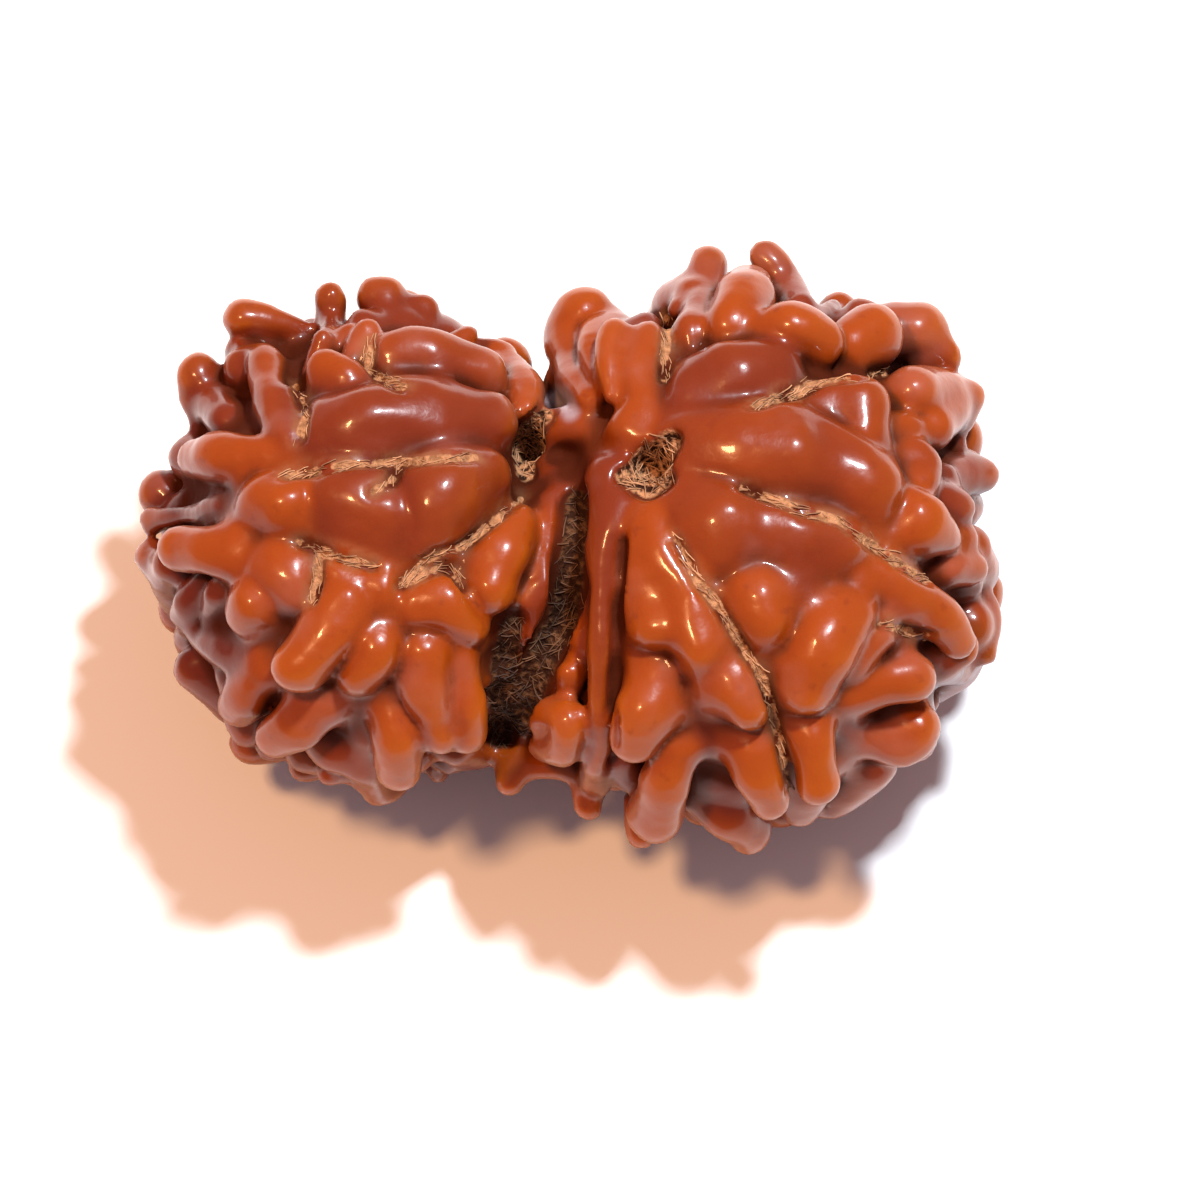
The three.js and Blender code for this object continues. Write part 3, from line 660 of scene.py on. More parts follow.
# %% Lines that show
FIBRE_LINES = {
    "west_crown_line": [(668, 318, 4), (665, 350, 5), (664, 380, 4)],
    "upper_line": [
        (752, 406, 3), (780, 398, 6), (802, 391, 7), (825, 380, 4),
        (860, 377, 3), (888, 372, 3),
    ],
    "crown_line": [
        (742, 488, 4), (775, 500, 5), (805, 512, 5), (840, 521, 4),
        (872, 546, 5), (900, 565, 5), (930, 582, 4),
    ],
    "south_line": [
        (676, 540, 3), (698, 583, 4), (716, 602, 6), (730, 626, 5),
        (745, 650, 4), (763, 680, 5), (771, 705, 5), (781, 745, 4),
        (789, 790, 4),
    ],
    "far_line": [(880, 625, 4), (905, 630, 4), (930, 636, 3)],
    "left_crown_line": [
        (475, 458, 3), (440, 459, 4), (400, 463, 4), (350, 464, 4),
        (318, 471, 4), (288, 475, 4),
    ],
    "left_crown_fork": [(398, 466, 3), (392, 482, 3), (372, 492, 3)],
    "pit_line": [(520, 500, 3), (494, 521, 4), (465, 545, 4), (430, 557, 4), (402, 582, 4)],
    "net_upper": [(300, 543, 4), (322, 551, 6), (350, 561, 6), (375, 568, 4)],
    "net_lower": [(318, 556, 4), (318, 578, 5), (312, 602, 4)],
    "net_east": [(400, 588, 3), (425, 575, 3), (446, 565, 4), (464, 588, 3)],
    "north_line": [(372, 345, 4), (368, 370, 4), (385, 380, 6), (402, 388, 6)],
    "arch_line": [(296, 388, 4), (306, 412, 4), (300, 440, 4)],
}
DARK_LINES = {
    "beside_rib": [(622, 540, 5), (620, 590, 6), (617, 640, 7), (614, 700, 6), (613, 760, 5)],
    "joint": [
        (577, 500, 8), (575, 535, 11), (570, 580, 13), (563, 620, 15),
        (545, 650, 17), (530, 685, 16), (518, 725, 13),
    ],
    "joint_west": [(512, 625, 9), (505, 660, 13), (503, 695, 15), (500, 735, 13)],
    "web_bloom": [(556, 395, 12), (568, 398, 12), (572, 412, 9)],
    "right_hollow": [(624, 477, 9), (640, 470, 13), (657, 455, 15), (672, 440, 11)],
    "right_hollow_south": [(636, 484, 9), (648, 488, 12), (664, 478, 12)],
    "left_hollow": [(546, 415, 6), (526, 430, 8), (522, 450, 11), (526, 474, 9)],
}
LINE_STEPS = 8
CHANNEL_DEPTH = 0.22
CHANNEL_MELT = 0.18
SIGHT_STEP = 0.12
SIGHT_REACH = 14


def read_lattice(values, points):
    """A lattice's values at any points, mixed from the eight corners round each."""
    place = (points - lattice_low) / STEP
    place = np.clip(place, 0, counts - 1.001)
    corner = np.floor(place).astype(int)
    share = place - corner
    found = np.zeros(points.shape[:-1])
    for dx in (0, 1):
        for dy in (0, 1):
            for dz in (0, 1):
                weight = np.abs(1 - dx - share[..., 0]) * np.abs(1 - dy - share[..., 1])
                weight = weight * np.abs(1 - dz - share[..., 2])
                found += weight * values[corner[..., 0] + dx, corner[..., 1] + dy, corner[..., 2] + dz]
    return found


def skin_point(x, y):
    """The first place where the sight line through a pixel meets the skin."""
    line = sight_line(x, y)
    reach = VIEW_DISTANCE + np.arange(-SIGHT_REACH, SIGHT_REACH, SIGHT_STEP)
    steps = eye + reach[:, None] * line
    values = read_lattice(field, steps)
    inside = np.nonzero(values < 0)[0]
    if not len(inside) or inside[0] == 0:
        return steps[np.argmin(values)]
    i = inside[0]
    share = values[i - 1] / (values[i - 1] - values[i])
    return steps[i - 1] + share * (steps[i] - steps[i - 1])


def skin_line(rows):
    """A line's points on the skin, with a half width in millimetres for each."""
    rows = np.array(rows, dtype=float)
    places = np.arange((len(rows) - 1) * LINE_STEPS + 1) / LINE_STEPS
    spread = [np.interp(places, np.arange(len(rows)), rows[:, k]) for k in range(3)]
    points = np.array([skin_point(x, y) for x, y in zip(spread[0], spread[1])])
    return np.column_stack([points, spread[2] / PIXELS_PER_MM])


fibre_lines = {name: skin_line(rows) for name, rows in FIBRE_LINES.items()}
dark_lines = {name: skin_line(rows) for name, rows in DARK_LINES.items()}
print(len(fibre_lines), "fibre lines and", len(dark_lines), "dark lines laid on the skin")

# %% [markdown]
# A cut is the same mixing of two distances turned inside out. A channel is a row of round beads, each
# sunk only as far as its depth allows, so that a shallow line stays shallow where it crosses a valley.
# The joint is cut deepest, because it is the darkest place on the seed. Afterwards the lines are dropped
# onto the skin a second time, since the strands laid along them later have to lie on the channel's floor.

# %% Channels, pits and the flat
PIT_HALF = np.array([0.75, 0.7, 1.5])
PIT_LIFT = 0.3
PIT_MELT = 0.5
DARK_DEPTHS = {"beside_rib": 0.28, "joint": 0.8, "joint_west": 0.8}
HOLLOW_DEPTH = 0.45
TABLE_MELT = 0.12


def cut(low_field, tool, width):
    """What is left of a solid when a tool is cut out of it, with the edge rounded."""
    return -melted(-low_field, tool, width)


def cut_channel(line, depth):
    """Cuts a channel of round beads, each sunk so that it reaches the depth."""
    for x, y, z, half in line:
        sample = np.array([[x, y, z, half]], dtype=np.float32)
        window = window_round(sample, 3 * STEP)
        away = np.linalg.norm(lattice_positions(window) - sample[0, :3], axis=-1)
        bead = away - max(half, depth)
        shallow = np.maximum(bead, -field[window] - depth)
        field[window] = cut(field[window], shallow, CHANNEL_MELT)


for line in fibre_lines.values():
    cut_channel(line, CHANNEL_DEPTH)
for name, line in dark_lines.items():
    if name == "web_bloom":
        continue
    cut_channel(line, DARK_DEPTHS.get(name, HOLLOW_DEPTH))
pits = {}
for name, core in CORES.items():
    upper = seen_point(core, *core["upper_pit"], PIT_LIFT)
    lower = on_core(core, core["middle"] + core["lower_pit"], 0.0)
    pits[name] = (upper, lower)
    for place in pits[name]:
        field = cut(field, ellipsoid_distance(positions, place, PIT_HALF), PIT_MELT)
field = cut(field, positions[..., 2].astype(float), TABLE_MELT)
fibre_lines = {name: skin_line(rows) for name, rows in FIBRE_LINES.items()}
dark_lines = {name: skin_line(rows) for name, rows in DARK_LINES.items()}
print("pits at", [place.round(1).tolist() for pair in pits.values() for place in pair])

# %% [markdown]
# ## From distance to mesh
# Surface nets turn the lattice into quads: every lattice cell that the skin crosses gets one vertex, at
# the middle of the places where its edges are crossed, and every crossed edge gets one quad between the
# four cells around it. It is shorter than marching cubes and its quads are far more even. The vertices
# are then eased towards their neighbours and pulled back onto the skin, which takes the steps out.

# %% Surface nets
QUAD_CORNERS = 4


def surface_net(values):
    """Vertices and quads of the surface where the lattice is zero."""
    inside = values < 0
    spots = [(dx, dy, dz) for dx in (0, 1) for dy in (0, 1) for dz in (0, 1)]

    def corner(grid, spot):
        """The grid's values at one corner of every cell."""
        return grid[tuple(slice(d, n - 1 + d) for d, n in zip(spot, grid.shape))]

    crossed = sum(corner(inside, spot).astype(np.int8) for spot in spots)
    crossed = (crossed > 0) & (crossed < 8)
    cells = np.argwhere(crossed)
    number = np.full(crossed.shape, -1)
    number[crossed] = np.arange(len(cells))
    at_corner = {spot: corner(values, spot)[crossed] for spot in spots}
    total = np.zeros((len(cells), 3))
    hits = np.zeros(len(cells))
    for spot in spots:
        for axis in range(3):
            if spot[axis]:
                continue
            far = tuple(1 if k == axis else d for k, d in enumerate(spot))
            a, b = at_corner[spot], at_corner[far]
            through = (a < 0) != (b < 0)
            share = np.where(through, a / np.where(through, a - b, 1), 0)
            place = np.array(spot, dtype=float) + share[:, None] * np.eye(3)[axis]
            total += through[:, None] * place
            hits += through
    vertices = lattice_low + STEP * (cells + total / hits[:, None])
    quads = []
    for axis in range(3):
        u, v = (axis + 1) % 3, (axis + 2) % 3
        near = [slice(1, -1)] * 3
        far = list(near)
        near[axis] = slice(0, -1)
        far[axis] = slice(1, None)
        a, b = inside[tuple(near)], inside[tuple(far)]

        def around(du, dv):
            """The vertex numbers of one of the four cells round every edge."""
            window = [slice(None)] * 3
            window[u] = slice(du, number.shape[u] - 1 + du)
            window[v] = slice(dv, number.shape[v] - 1 + dv)
            return number[tuple(window)]

        ring = np.stack([around(0, 0), around(1, 0), around(1, 1), around(0, 1)], axis=-1)
        quads.append(ring[a & ~b])
        quads.append(ring[b & ~a][:, ::-1])
    return vertices, np.vstack(quads)


def largest_piece(vertices, quads):
    """The vertices and quads of the piece that holds most vertices."""
    label = np.arange(len(vertices))
    while True:
        before = label.copy()
        lowest = label[quads].min(axis=1)
        for k in range(QUAD_CORNERS):
            np.minimum.at(label, quads[:, k], lowest)
        label = label[label]
        if (label == before).all():
            break
    keep = label == np.bincount(label).argmax()
    renumber = np.cumsum(keep) - 1
    return vertices[keep], renumber[quads[keep[quads[:, 0]]]]


vertices, quads = largest_piece(*surface_net(field))
print(len(vertices), "vertices and", 2 * len(quads), "triangles")

# %% [markdown]
# The net's vertices still show the lattice as faint steps. Easing alone would shrink the lobes, so each
# round first moves every vertex towards its neighbours and then slides it back along the distance's own
# slope until it is on the skin again.

# %% Easing the skin
EASE_ROUNDS = 3
EASE_SHARE = 0.5
LEAST_SLOPE = 0.2


def field_slope(points):
    """The slope of the distance at points, by differences."""
    slope = np.empty_like(points)
    for axis in range(3):
        offset = np.eye(3)[axis] * STEP * 0.5
        rise = read_lattice(field, points + offset) - read_lattice(field, points - offset)
        slope[:, axis] = rise / STEP
    return slope


def eased(points):
    """Each point part of the way to the mean of its neighbours."""
    total = np.zeros_like(points)
    count = np.zeros(len(points))
    for k in range(QUAD_CORNERS):
        a, b = quads[:, k], quads[:, (k + 1) % QUAD_CORNERS]
        for start, end in ((a, b), (b, a)):
            for axis in range(3):
                total[:, axis] += np.bincount(start, weights=points[end, axis], minlength=len(points))
            count += np.bincount(start, minlength=len(points))
    return points + EASE_SHARE * (total / count[:, None] - points)


for _ in range(EASE_ROUNDS):
    vertices = eased(vertices)
    slope = field_slope(vertices)
    steep = np.maximum((slope ** 2).sum(1), LEAST_SLOPE)
    vertices -= (read_lattice(field, vertices) / steep)[:, None] * slope
vertices[:, 2] = np.maximum(vertices[:, 2], 0.0)
print("skin from", vertices.min(0).round(2), "to", vertices.max(0).round(2), "mm")

# %% [markdown]
# ## What the skin knows about itself
# A finish that is the same everywhere looks like plastic. On the real seed the tops of the lobes are
# rubbed and light and each lobe differs a little from the next, and here the hollows are also painted
# darker as shade. The lattice already knows where that is: how much solid lies around a place says if it
# is a tip or a hollow, and the distance from the bare cores says how high it stands. Measured for every
# vertex, these go onto the mesh as named attributes.

# %% Measures of the skin
HOLLOW_CELLS = 2
VALLEY_CELLS = 5


def closeness(line_sets, points, soften):
    """How close points lie to any of the lines, from 1 on a line to 0, and the way that line runs."""
    best = np.zeros(len(points))
    way = np.tile([1.0, 0.0, 0.0], (len(points), 1))
    for line in line_sets:
        runs = np.gradient(line[:, :3], axis=0)
        for (x, y, z, half), run in zip(line, runs):
            reach = half + soften
            near = np.nonzero((np.abs(points - (x, y, z)) < 3 * reach).all(axis=1))[0]
            away = np.linalg.norm(points[near] - (x, y, z), axis=1)
            mark = np.exp(-((away / reach) ** 2))
            better = mark > best[near]
            best[near[better]] = mark[better]
            way[near[better]] = unit(run)
    return best, way


solid_share = np.clip(0.5 - field / STEP, 0, 1).astype(np.float32)
hollow = read_lattice(blurred(solid_share, HOLLOW_CELLS), vertices)
valley = read_lattice(blurred(solid_share, VALLEY_CELLS), vertices)
height = read_lattice(bare, vertices)
tone = read_lattice(tone_sum / tone_weight, vertices)
print("hollow", hollow.min().round(2), hollow.max().round(2), "height", height.max().round(2))

# %% [markdown]
# The fibre is marked where the picked lines run, and dust lies a little wider round them. On the hidden
# side there are no picked lines, so there it follows the borders between the faces, and only in hollows
# that would hold it. The mark also keeps which way its line runs, for the strands to follow.

# %% Where the fibre is
HIDDEN_LINE_HALF = 0.3
HIDDEN_LINE_WOBBLE = 0.25
HIDDEN_LINE_HOLLOW = 0.47
SOFT_EDGE = {"fibre": 0.06, "dust": 0.45, "joint": 0.20, "hollow": 0.12, "bloom": 0.15}
PIT_RIM = 1.35


def face_lines(core, points):
    """How close points lie to the lines between a core's hidden faces, and the way those lines run."""
    pit = unit(core["lower_pit"])
    side = np.array([0.0, 1.0, 0.0])
    across = np.cross(pit, side)
    local = points - core["middle"]
    turn = np.arctan2(local @ across, local @ side) % (2 * math.pi)
    face_turn = 2 * math.pi / core["faces"]
    off = (turn / face_turn + 0.5) % 1.0 - 0.5
    ring = np.hypot(local @ across, local @ side)
    wobble = HIDDEN_LINE_WOBBLE * np.sin(3 * local[:, 2] + 5 * np.round(turn / face_turn))
    mark = np.exp(-(((off * face_turn * ring) + wobble) / HIDDEN_LINE_HALF) ** 2)
    way = -pit + local * ((local @ pit) / np.maximum((local ** 2).sum(1), TINY))[:, None]
    return mark, way / np.maximum(np.linalg.norm(way, axis=1), TINY)[:, None]


fibre, fibre_way = closeness(fibre_lines.values(), vertices, SOFT_EDGE["fibre"])
dust = closeness(fibre_lines.values(), vertices, SOFT_EDGE["dust"])[0]
joint_lines = [line for name, line in dark_lines.items() if name.startswith("joint")]
hollow_lines = [line for name, line in dark_lines.items() if "hollow" in name]
joint_mark, joint_way = closeness(joint_lines, vertices, SOFT_EDGE["joint"])
hollow_mark = closeness(hollow_lines, vertices, SOFT_EDGE["hollow"])[0]
bloom = closeness([dark_lines["web_bloom"]], vertices, SOFT_EDGE["bloom"])[0]
pit_mark = np.zeros(len(vertices))
for pair in pits.values():
    for place in pair:
        away = np.linalg.norm((vertices - place) / PIT_HALF, axis=1)
        pit_mark = np.maximum(pit_mark, np.clip(PIT_RIM - away, 0, 0.5) * 2)
pit_mark = np.maximum(pit_mark, hollow_mark)
normals = field_slope(vertices)
normals /= np.maximum(np.linalg.norm(normals, axis=1), TINY)[:, None]
unseen = np.clip(-4 * (normals @ view_back) - 0.2, 0, 1)
for name, core in CORES.items():
    mark, way = face_lines(core, vertices)
    side = np.sign(core["middle"][0] - JOINT_MIDDLE[0])
    mine = (vertices[:, 0] - JOINT_MIDDLE[0]) * side > 0.5
    mark = mark * unseen * mine * np.clip(4 * (hollow - HIDDEN_LINE_HOLLOW), 0, 1)
    better = mark > fibre
    fibre[better] = mark[better]
    fibre_way[better] = way[better]
joint_better = joint_mark > fibre
fibre_way[joint_better] = joint_way[joint_better]
print("fibre on", int((fibre > 0.4).sum()), "vertices, joint on", int((joint_mark > 0.4).sum()))

# %% [markdown]
# ## The seed's mesh
# The vertices are scaled to metres and the object stays at the origin, unturned, so that patterns on
# Object coordinates stay where they are. It takes the place of the faceted solid.

# %% The seed
def add_attribute(mesh, name, values):
    """Stores one number or one direction for each vertex."""
    kind = "FLOAT_VECTOR" if values.ndim == 2 else "FLOAT"
    field_name = "vector" if values.ndim == 2 else "value"
    layer = mesh.attributes.new(name, kind, "POINT")
    layer.data.foreach_set(field_name, values.astype(np.float32).ravel())


seed_mesh = bpy.data.meshes.new("rudraksha_pair")
seed_mesh.from_pydata((vertices * MM).tolist(), [], quads.tolist())
seed_mesh.shade_smooth()
measures = {
    "hollow": hollow, "valley": valley, "height": height, "tone": tone, "lean": normals[:, 2],
    "fibre": fibre, "fibre_way": fibre_way, "dust": dust,
    "joint": joint_mark, "pit": pit_mark, "bloom": bloom,
}
for name, values in measures.items():
    add_attribute(seed_mesh, name, values)
seed = bpy.data.objects.new("rudraksha_pair", seed_mesh)
bpy.context.collection.objects.link(seed)
print("the pair has", len(seed_mesh.polygons), "faces")

# %% [markdown]
# ## The waxy skin
# Oiled rudraksha is a warm orange-brown with a soft shine. The base colour is mixed from dark to light by
# the skin's own measures, which also paint shade into hollows and onto undersides, noises of several sizes
# keep it from being even, and the gloss drops where fibre and dirt lie and where shade is painted. A little
# light passes under the skin, as it does in any thin woody rind full of oil.
# A material has many nodes, so the first cell makes a short way to add one and join it up.

# %% A short way to add nodes
def add_node(tree, kind, settings=None, **inputs):
    """Adds a node, sets its properties and gives each named input a value or a link."""
    node = tree.nodes.new(kind)
    for key, value in (settings or {}).items():
        setattr(node, key, value)
    for key, value in inputs.items():
        socket = node.inputs[int(key[1:])] if key[0] == "i" and key[1:].isdigit() else node.inputs[key]
        if isinstance(value, bpy.types.NodeSocket):
            tree.links.new(value, socket)
        else:
            socket.default_value = value
    return node


def attribute(tree, name):
    """A vertex measure of the mesh as a number."""
    return add_node(tree, "ShaderNodeAttribute", {"attribute_name": name}).outputs["Fac"]


def stretch(tree, value, low, high, out_low=0.0, out_high=1.0):
    """A number between two limits, stretched to two others."""
    settings = {"interpolation_type": "SMOOTHSTEP"}
    limits = {"i1": low, "i2": high, "i3": out_low, "i4": out_high}
    return add_node(tree, "ShaderNodeMapRange", settings, i0=value, **limits).outputs[0]


def blend(tree, share, first, second):
    """Two colours mixed by a share."""
    settings = {"data_type": "RGBA"}
    return add_node(tree, "ShaderNodeMix", settings, i0=share, i6=first, i7=second).outputs[2]


def noise(tree, place, scale, detail):
    """A noise on Object coordinates, from 0 to 1."""
    return add_node(tree, "ShaderNodeTexNoise", i0=place, Scale=scale, Detail=detail).outputs["Fac"]


def calculate(tree, operation, first, second):
    """Two numbers added, multiplied or compared."""
    return add_node(tree, "ShaderNodeMath", {"operation": operation}, i0=first, i1=second).outputs[0]


def bump(tree, strength, distance, height):
    """A bump that a number between 0 and 1 raises, at most by a distance in metres."""
    return add_node(tree, "ShaderNodeBump", Strength=strength, Distance=distance, Height=height)


print("seven short helpers add nodes from here on")

# %% [markdown]
# The skin starts as a red-brown that each lobe's tone and a slow noise lighten, and its tips are rubbed
# to orange. A pale lilac haze in patches over it is a painted sheen. Over that comes what is darker:
# painted shade on the flanks that look down and on the ground between lobes, the dust round the lines, and
# painted shade in the valleys. Last come the crumbs in the joint and the pits, the grey bloom and the
# fibre. Every dark or dry place is also rougher, because only what a hand can polish keeps its shine.

# %% The skin's material
# Painted shade, for the hollows and the valleys.
PAINTED_SHADE_BROWN = (0.050, 0.009, 0.003, 1)
RED_BROWN = (0.150, 0.020, 0.005, 1)
# Painted shade, for the flanks that face down.
UNDERSIDE_PAINTED_SHADE = (0.110, 0.013, 0.003, 1)
ORANGE_BROWN = (0.250, 0.040, 0.003, 1)
TIP_ORANGE = (0.360, 0.078, 0.005, 1)
DRY_TAN = (0.480, 0.235, 0.115, 1)
MIDDLE_TAN = (0.260, 0.120, 0.055, 1)
# A painted sheen.
PAINTED_SHEEN_LILAC = (0.330, 0.150, 0.130, 1)
GREY_BLOOM = (0.360, 0.290, 0.320, 1)
OLD_TAN = (0.130, 0.058, 0.026, 1)
JOINT_BROWN = (0.030, 0.011, 0.006, 1)


def make_skin():
    """The oiled skin, mixed from the measures on the mesh and noises on Object coordinates."""
    skin = bpy.data.materials.new("waxy_skin")
    skin.use_nodes = True
    tree = skin.node_tree
    shader = tree.nodes["Principled BSDF"]
    place = add_node(tree, "ShaderNodeTexCoord").outputs["Object"]
    cloud = noise(tree, place, 180.0, 4.0)
    speck = noise(tree, place, 1400.0, 5.0)
    crumb = noise(tree, place, 3600.0, 5.0)
    lobe_tone = stretch(tree, attribute(tree, "tone"), 0.15, 0.85)
    cloud_share = calculate(tree, "MULTIPLY", cloud, 0.6)
    light = calculate(tree, "ADD", cloud_share, calculate(tree, "MULTIPLY", lobe_tone, 0.6))
    body = blend(tree, stretch(tree, light, 0.40, 0.88), RED_BROWN, ORANGE_BROWN)
    high = stretch(tree, attribute(tree, "height"), 0.9, 2.8)
    top = calculate(tree, "MULTIPLY", high, stretch(tree, attribute(tree, "hollow"), 0.52, 0.34))
    oiled = stretch(tree, attribute(tree, "lean"), 0.95, 0.55, 0.25, 1.0)
    body = blend(tree, calculate(tree, "MULTIPLY", top, oiled), body, TIP_ORANGE)
    body = blend(tree, stretch(tree, speck, 0.60, 0.75, 0.0, 0.35), body, RED_BROWN)
    # A pale lilac haze in noise patches is a painted sheen.
    painted_sheen = stretch(tree, noise(tree, place, 260.0, 3.0), 0.52, 0.72, 0.0, 0.18)
    body = blend(tree, painted_sheen, body, PAINTED_SHEEN_LILAC)
    # Flanks that face down are painted darker: painted shade.
    under = stretch(tree, attribute(tree, "lean"), 0.25, -0.6, 0.0, 0.6)
    body = blend(tree, under, body, UNDERSIDE_PAINTED_SHADE)
    # Hollows, and low ground lying in a hollow, are painted dark brown: painted shade.
    sunk = stretch(tree, attribute(tree, "hollow"), 0.54, 0.72)
    low = stretch(tree, attribute(tree, "height"), 1.05, 0.35, 0.0, 0.9)
    low = calculate(tree, "MULTIPLY", low, stretch(tree, attribute(tree, "hollow"), 0.43, 0.51))
    sunk = calculate(tree, "MAXIMUM", sunk, low)
    body = blend(tree, sunk, body, PAINTED_SHADE_BROWN)
    patches = stretch(tree, speck, 0.35, 0.62)
    dust = calculate(tree, "MULTIPLY", stretch(tree, attribute(tree, "dust"), 0.15, 0.95), patches)
    body = blend(tree, calculate(tree, "MULTIPLY", dust, 0.55), body, MIDDLE_TAN)
    # The valleys are painted darker still: painted shade.
    shade = stretch(tree, attribute(tree, "valley"), 0.46, 0.68, 0.0, 0.62)
    body = blend(tree, shade, body, PAINTED_SHADE_BROWN)
    joint = stretch(tree, attribute(tree, "joint"), 0.35, 0.75)
    crumbs = blend(tree, stretch(tree, crumb, 0.45, 0.70), JOINT_BROWN, OLD_TAN)
    body = blend(tree, joint, body, crumbs)
    pit = stretch(tree, attribute(tree, "pit"), 0.30, 0.70)
    body = blend(tree, pit, body, blend(tree, stretch(tree, crumb, 0.40, 0.62), JOINT_BROWN, DRY_TAN))
    body = blend(tree, stretch(tree, attribute(tree, "bloom"), 0.2, 0.9, 0.0, 0.75), body, GREY_BLOOM)
    gaps = stretch(tree, speck, 0.35, 0.6, 0.35, 1.0)
    ragged = calculate(tree, "MULTIPLY", attribute(tree, "fibre"), gaps)
    dry = stretch(tree, ragged, 0.35, 0.60)
    straw = blend(tree, stretch(tree, crumb, 0.35, 0.65), MIDDLE_TAN, DRY_TAN)
    body = blend(tree, dry, body, straw)
    tree.links.new(body, shader.inputs["Base Color"])
    dull = calculate(tree, "MAXIMUM", dry, calculate(tree, "MAXIMUM", joint, pit))
    # The painted shade of undersides and valleys also makes the skin rougher there.
    painted_shade_places = calculate(tree, "MAXIMUM", under, shade)
    rough = calculate(tree, "MAXIMUM", dull, calculate(tree, "MAXIMUM", sunk, painted_shade_places))
    tree.links.new(stretch(tree, rough, 0.0, 1.0, 0.30, 0.8), shader.inputs["Roughness"])
    tree.links.new(stretch(tree, rough, 0.0, 1.0, 0.45, 0.0), shader.inputs["Coat Weight"])
    tree.links.new(stretch(tree, rough, 0.0, 1.0, 0.25, 0.05), shader.inputs["Specular IOR Level"])
    dents = bump(tree, 0.5, 0.0002, noise(tree, place, 420.0, 2.0))
    grain = bump(tree, 0.4, 0.00012, noise(tree, place, 900.0, 4.0))
    mat = bump(tree, dull, 0.0003, crumb)
    tree.links.new(dents.outputs[0], grain.inputs["Normal"])
    tree.links.new(grain.outputs[0], mat.inputs["Normal"])
    tree.links.new(mat.outputs[0], shader.inputs["Normal"])
    shader.inputs["IOR"].default_value = 1.42
    shader.inputs["Coat IOR"].default_value = 1.42
    shader.inputs["Coat Roughness"].default_value = 0.09
    shader.inputs["Subsurface Weight"].default_value = 0.10
    shader.inputs["Subsurface Radius"].default_value = (1.0, 0.25, 0.08)
    shader.inputs["Subsurface Scale"].default_value = 0.0006
    return skin


waxy_skin = make_skin()
seed_mesh.materials.append(waxy_skin)
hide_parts("rudraksha_seed")
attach(seed, "root")
print("skin of", len(waxy_skin.node_tree.nodes), "nodes on", seed.name)

# %% [markdown]
# ## The fibres
# The dry fibre of the fruit clings in the lines, the pits and the joint. Hundreds of short strands that
# follow a surface are work for Geometry Nodes: points are scattered on the skin where a measure is high,
# each gets one arched strand laid along the line and turned a little, and a noise bends every strand
# differently. In the joint and the pits the fibre is a tangle, so there the turn is free.

# %% The tree that scatters strands
STRAND_INPUTS = {
    "Strands per square metre": ("NodeSocketFloat", 4.0e6),
    "Where": ("NodeSocketString", "fibre"),
    "Length": ("NodeSocketFloat", 0.0011),
    "Half width": ("NodeSocketFloat", 0.00002),
    "Arch": ("NodeSocketFloat", 0.0001),
    "Bend": ("NodeSocketFloat", 0.0002),
    "Turn": ("NodeSocketFloat", 0.5),
    "Seed": ("NodeSocketInt", 7),
    "Finish": ("NodeSocketMaterial", None),
}


def group_input(tree, name, kind, default):
    """A named input of the tree with its default value, told by its identifier."""
    socket = tree.interface.new_socket(name=name, in_out="INPUT", socket_type=kind)
    if default is not None:
        socket.default_value = default
    return socket.identifier


def named_value(tree, name, kind):
    """A measure that the mesh holds under a name."""
    settings = {"data_type": kind}
    return add_node(tree, "GeometryNodeInputNamedAttribute", settings, Name=name).outputs["Attribute"]


def random_number(tree, low, high, seed):
    """A number between two limits that differs from point to point."""
    settings = {"data_type": "FLOAT"}
    return add_node(tree, "FunctionNodeRandomValue", settings, i2=low, i3=high, Seed=seed).outputs[1]


def vector(tree, **axes):
    """A vector of the axes that are given, with zero for the others."""
    return add_node(tree, "ShaderNodeCombineXYZ", **axes).outputs[0]


def strand_directions(tree, start, normal):
    """The turn that lays a strand flat along its line, then a little off it."""
    way = named_value(tree, "fibre_way", "FLOAT_VECTOR")
    axes = {"primary_axis": "Z", "secondary_axis": "X"}
    lie = add_node(tree, "FunctionNodeAxesToRotation", axes, i0=normal, i1=way)
    least = calculate(tree, "MULTIPLY", start["Turn"], -1.0)
    yaw = random_number(tree, least, start["Turn"], start["Seed"])
    spin = add_node(tree, "FunctionNodeEulerToRotation", i0=vector(tree, Z=yaw)).outputs[0]
    space = {"rotation_space": "LOCAL"}
    return add_node(tree, "FunctionNodeRotateRotation", space, i0=lie.outputs[0], i1=spin).outputs[0]


def strand_tube(tree, start):
    """One strand: an arched curve along X with a square section and closed ends."""
    left = vector(tree, X=calculate(tree, "MULTIPLY", start["Length"], -0.5))
    right = vector(tree, X=calculate(tree, "MULTIPLY", start["Length"], 0.5))
    arch = vector(tree, Z=start["Arch"])
    ends = {"Start": left, "Middle": arch, "End": right}
    curve = add_node(tree, "GeometryNodeCurveQuadraticBezier", Resolution=5, **ends)
    section = add_node(tree, "GeometryNodeCurvePrimitiveCircle", Resolution=4, Radius=start["Half width"])
    profile = {"Profile Curve": section.outputs[0], "Fill Caps": True}
    return add_node(tree, "GeometryNodeCurveToMesh", Curve=curve.outputs[0], **profile).outputs[0]


def strand_shift(tree, bend):
    """How far a noise moves each point of the strands."""
    place = tree.nodes.new("GeometryNodeInputPosition").outputs[0]
    wave = add_node(tree, "ShaderNodeTexNoise", Vector=place, Scale=1500.0, Detail=1.0).outputs["Color"]
    subtract = {"operation": "SUBTRACT"}
    centred = add_node(tree, "ShaderNodeVectorMath", subtract, i0=wave, i1=(0.5, 0.5, 0.5)).outputs[0]
    scale = {"operation": "SCALE"}
    return add_node(tree, "ShaderNodeVectorMath", scale, i0=centred, Scale=bend).outputs[0]


